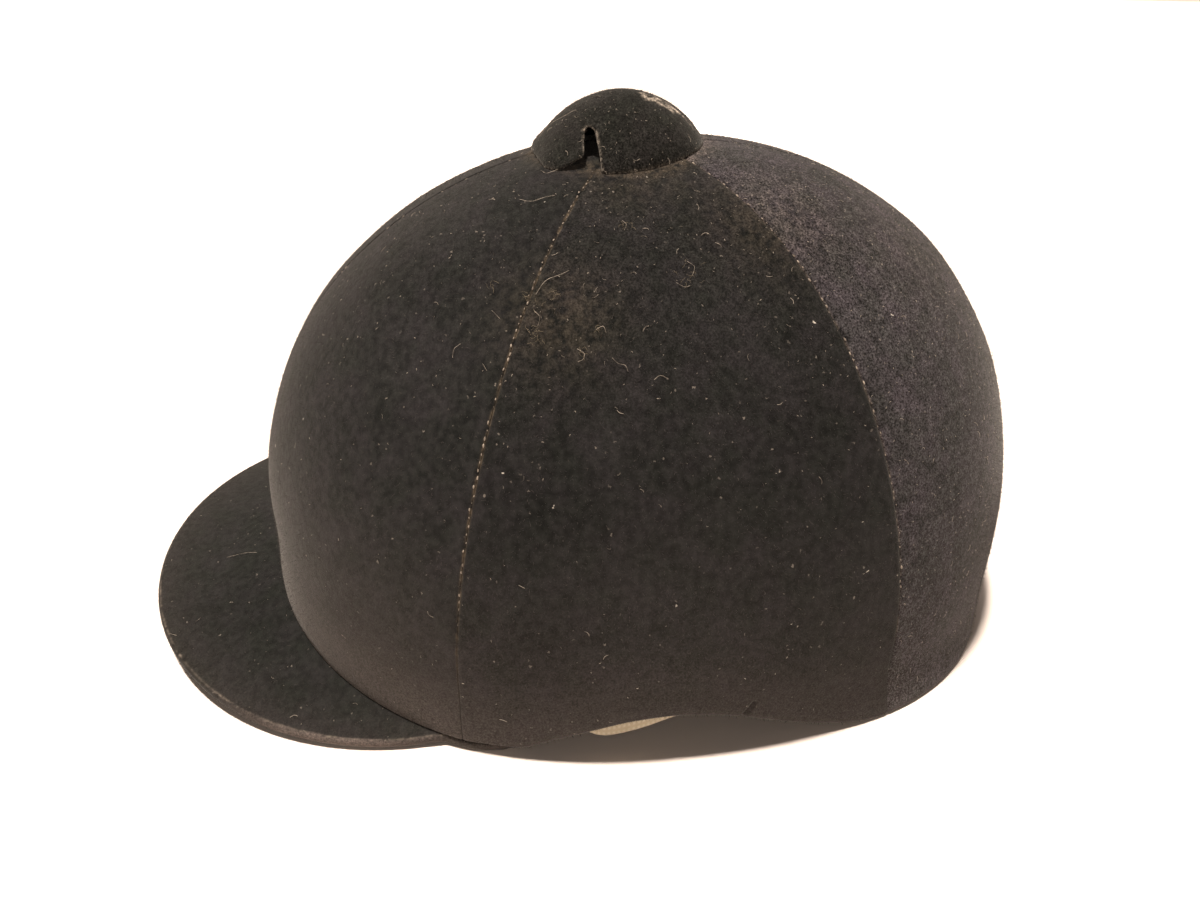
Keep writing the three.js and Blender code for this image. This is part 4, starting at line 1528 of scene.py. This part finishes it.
class HAT_OT_pile(bpy.types.Operator):
    """Stands short pile ends all over the velvet"""

    bl_idname = "riding_hat.standing_pile"
    bl_label = "Standing Pile"

    def execute(self, context):
        settings = context.scene.hat_pile
        fibre = spun_thread("black_pile_ends", "#1b1a19", "#453f3b")
        tree = pile_tree(fibre)
        for i, piece in enumerate(velvet_pieces()):
            pile = grown(piece.name.replace("velvet", "pile"), piece, tree,
                         Density=settings.pile_density, Length=settings.pile_length,
                         Thickness=settings.pile_thickness, Seed=settings.seed + i)
            finish_piece(pile, PILE_SLOTS.get(pile.name, "crown_velvet"))
        return {"FINISHED"}


class HAT_OT_stage(bpy.types.Operator):
    """Sets the pale floor, the soft light and the camera"""

    bl_idname = "riding_hat.stage"
    bl_label = "Stage and Camera"

    def execute(self, context):
        settings = context.scene.hat_stage
        floor_paint = new_material("matt_white_board")
        end_material(floor_paint, Base_Color=tuple(settings.floor_colour), Roughness=0.8,
                     Specular_IOR_Level=0.2)
        far = FLOOR_REACH
        mesh = bpy.data.meshes.new("floor")
        mesh.from_pydata([(-far, -far, 0), (far, -far, 0), (far, far, 0), (-far, far, 0)], [],
                         [(0, 1, 2, 3)])
        mesh.materials.append(floor_paint)
        floor = add_object("floor", mesh)

        context.scene.view_settings.view_transform = "Standard"
        world = bpy.data.worlds.new("soft_room")
        world.use_nodes = True
        room = world.node_tree
        sky = room.nodes["Background"]
        way = add_node(room, "ShaderNodeTexCoord")
        height = add_node(room, "ShaderNodeSeparateXYZ", {0: way.outputs["Generated"]})
        glow = add_node(room, "ShaderNodeMapRange", {
            "Value": height.outputs[2], "From Min": 0.1, "From Max": 0.4,
            "To Min": settings.wall_strength, "To Max": settings.sky_strength})
        room.links.new(glow.outputs[0], sky.inputs["Strength"])
        sky.inputs["Color"].default_value = linear("#ffe9d6")
        context.scene.world = world
        for name, kind, place, size, power in (
            ("key_light", "SUN", (-0.02, -0.15, 1.0), 0.1, settings.key_power),
            ("back_light", "AREA", (-0.9, 0.25, 0.45), 0.9, settings.back_power),
            ("fill_light", "AREA", (0.9, -0.35, 0.2), 0.6, settings.fill_power),
        ):
            lamp = bpy.data.lights.new(name, kind)
            lamp.energy, lamp.color = power, linear(LAMP_COLOUR)[:3]
            if kind == "SUN":
                lamp.angle = size
            else:
                lamp.shape, lamp.size = "DISK", size
            light = add_object(name, lamp)
            turn = (LAMP_AIM - Vector(place)).to_track_quat("-Z", "Y").to_matrix().to_4x4()
            light.matrix_world = Matrix.Translation(place) @ turn
            light.visible_camera = False

        lens = bpy.data.cameras.new("camera")
        lens.sensor_fit, lens.sensor_width = "HORIZONTAL", SENSOR_WIDTH
        lens.lens = SENSOR_WIDTH * CAMERA_FOCUS / PICTURE[0]
        lens.clip_start = 0.01
        camera = add_object("camera", lens)
        turn = Matrix((CAMERA_RIGHT, CAMERA_UP, -CAMERA_AHEAD)).transposed().to_4x4()
        camera.matrix_world = Matrix.Translation(CAMERA_PLACE * MM) @ turn
        context.scene.camera = camera
        return {"FINISHED"}


OPERATORS = (
    HAT_OT_crown, HAT_OT_peak, HAT_OT_cap, HAT_OT_strap, HAT_OT_stitches, HAT_OT_lint,
    HAT_OT_pile, HAT_OT_stage,
)
SETTINGS = {
    "hat_crown": CrownSettings,
    "hat_peak": PeakSettings,
    "hat_cap": CapSettings,
    "hat_pile": PileSettings,
    "hat_stage": StageSettings,
}


class HAT_PT_panel(bpy.types.Panel):
    """Lists the hat's operators and settings"""

    bl_idname = "HAT_PT_panel"
    bl_label = "Riding Hat"
    bl_space_type = "VIEW_3D"
    bl_region_type = "UI"
    bl_category = "Riding Hat"

    def draw(self, context):
        for operator in OPERATORS:
            self.layout.operator(operator.bl_idname)
        for name, group in SETTINGS.items():
            box = self.layout.box()
            for key in group.__annotations__:
                box.prop(getattr(context.scene, name), key)


def register():
    for name, group in SETTINGS.items():
        bpy.utils.register_class(group)
        setattr(bpy.types.Scene, name, bpy.props.PointerProperty(type=group))
    for entry in (*OPERATORS, HAT_PT_panel):
        bpy.utils.register_class(entry)


def unregister():
    for entry in (HAT_PT_panel, *reversed(OPERATORS)):
        bpy.utils.unregister_class(entry)
    for name, group in SETTINGS.items():
        delattr(bpy.types.Scene, name)
        bpy.utils.unregister_class(group)


def main():
    register()
    bpy.ops.riding_hat.crown()
    bpy.ops.riding_hat.peak()
    bpy.ops.riding_hat.vent_cap()
    bpy.ops.riding_hat.chin_strap()
    bpy.ops.riding_hat.stitches()
    bpy.ops.riding_hat.lint()
    bpy.ops.riding_hat.standing_pile()
    bpy.ops.riding_hat.stage()


if __name__ == "__main__":
    main()
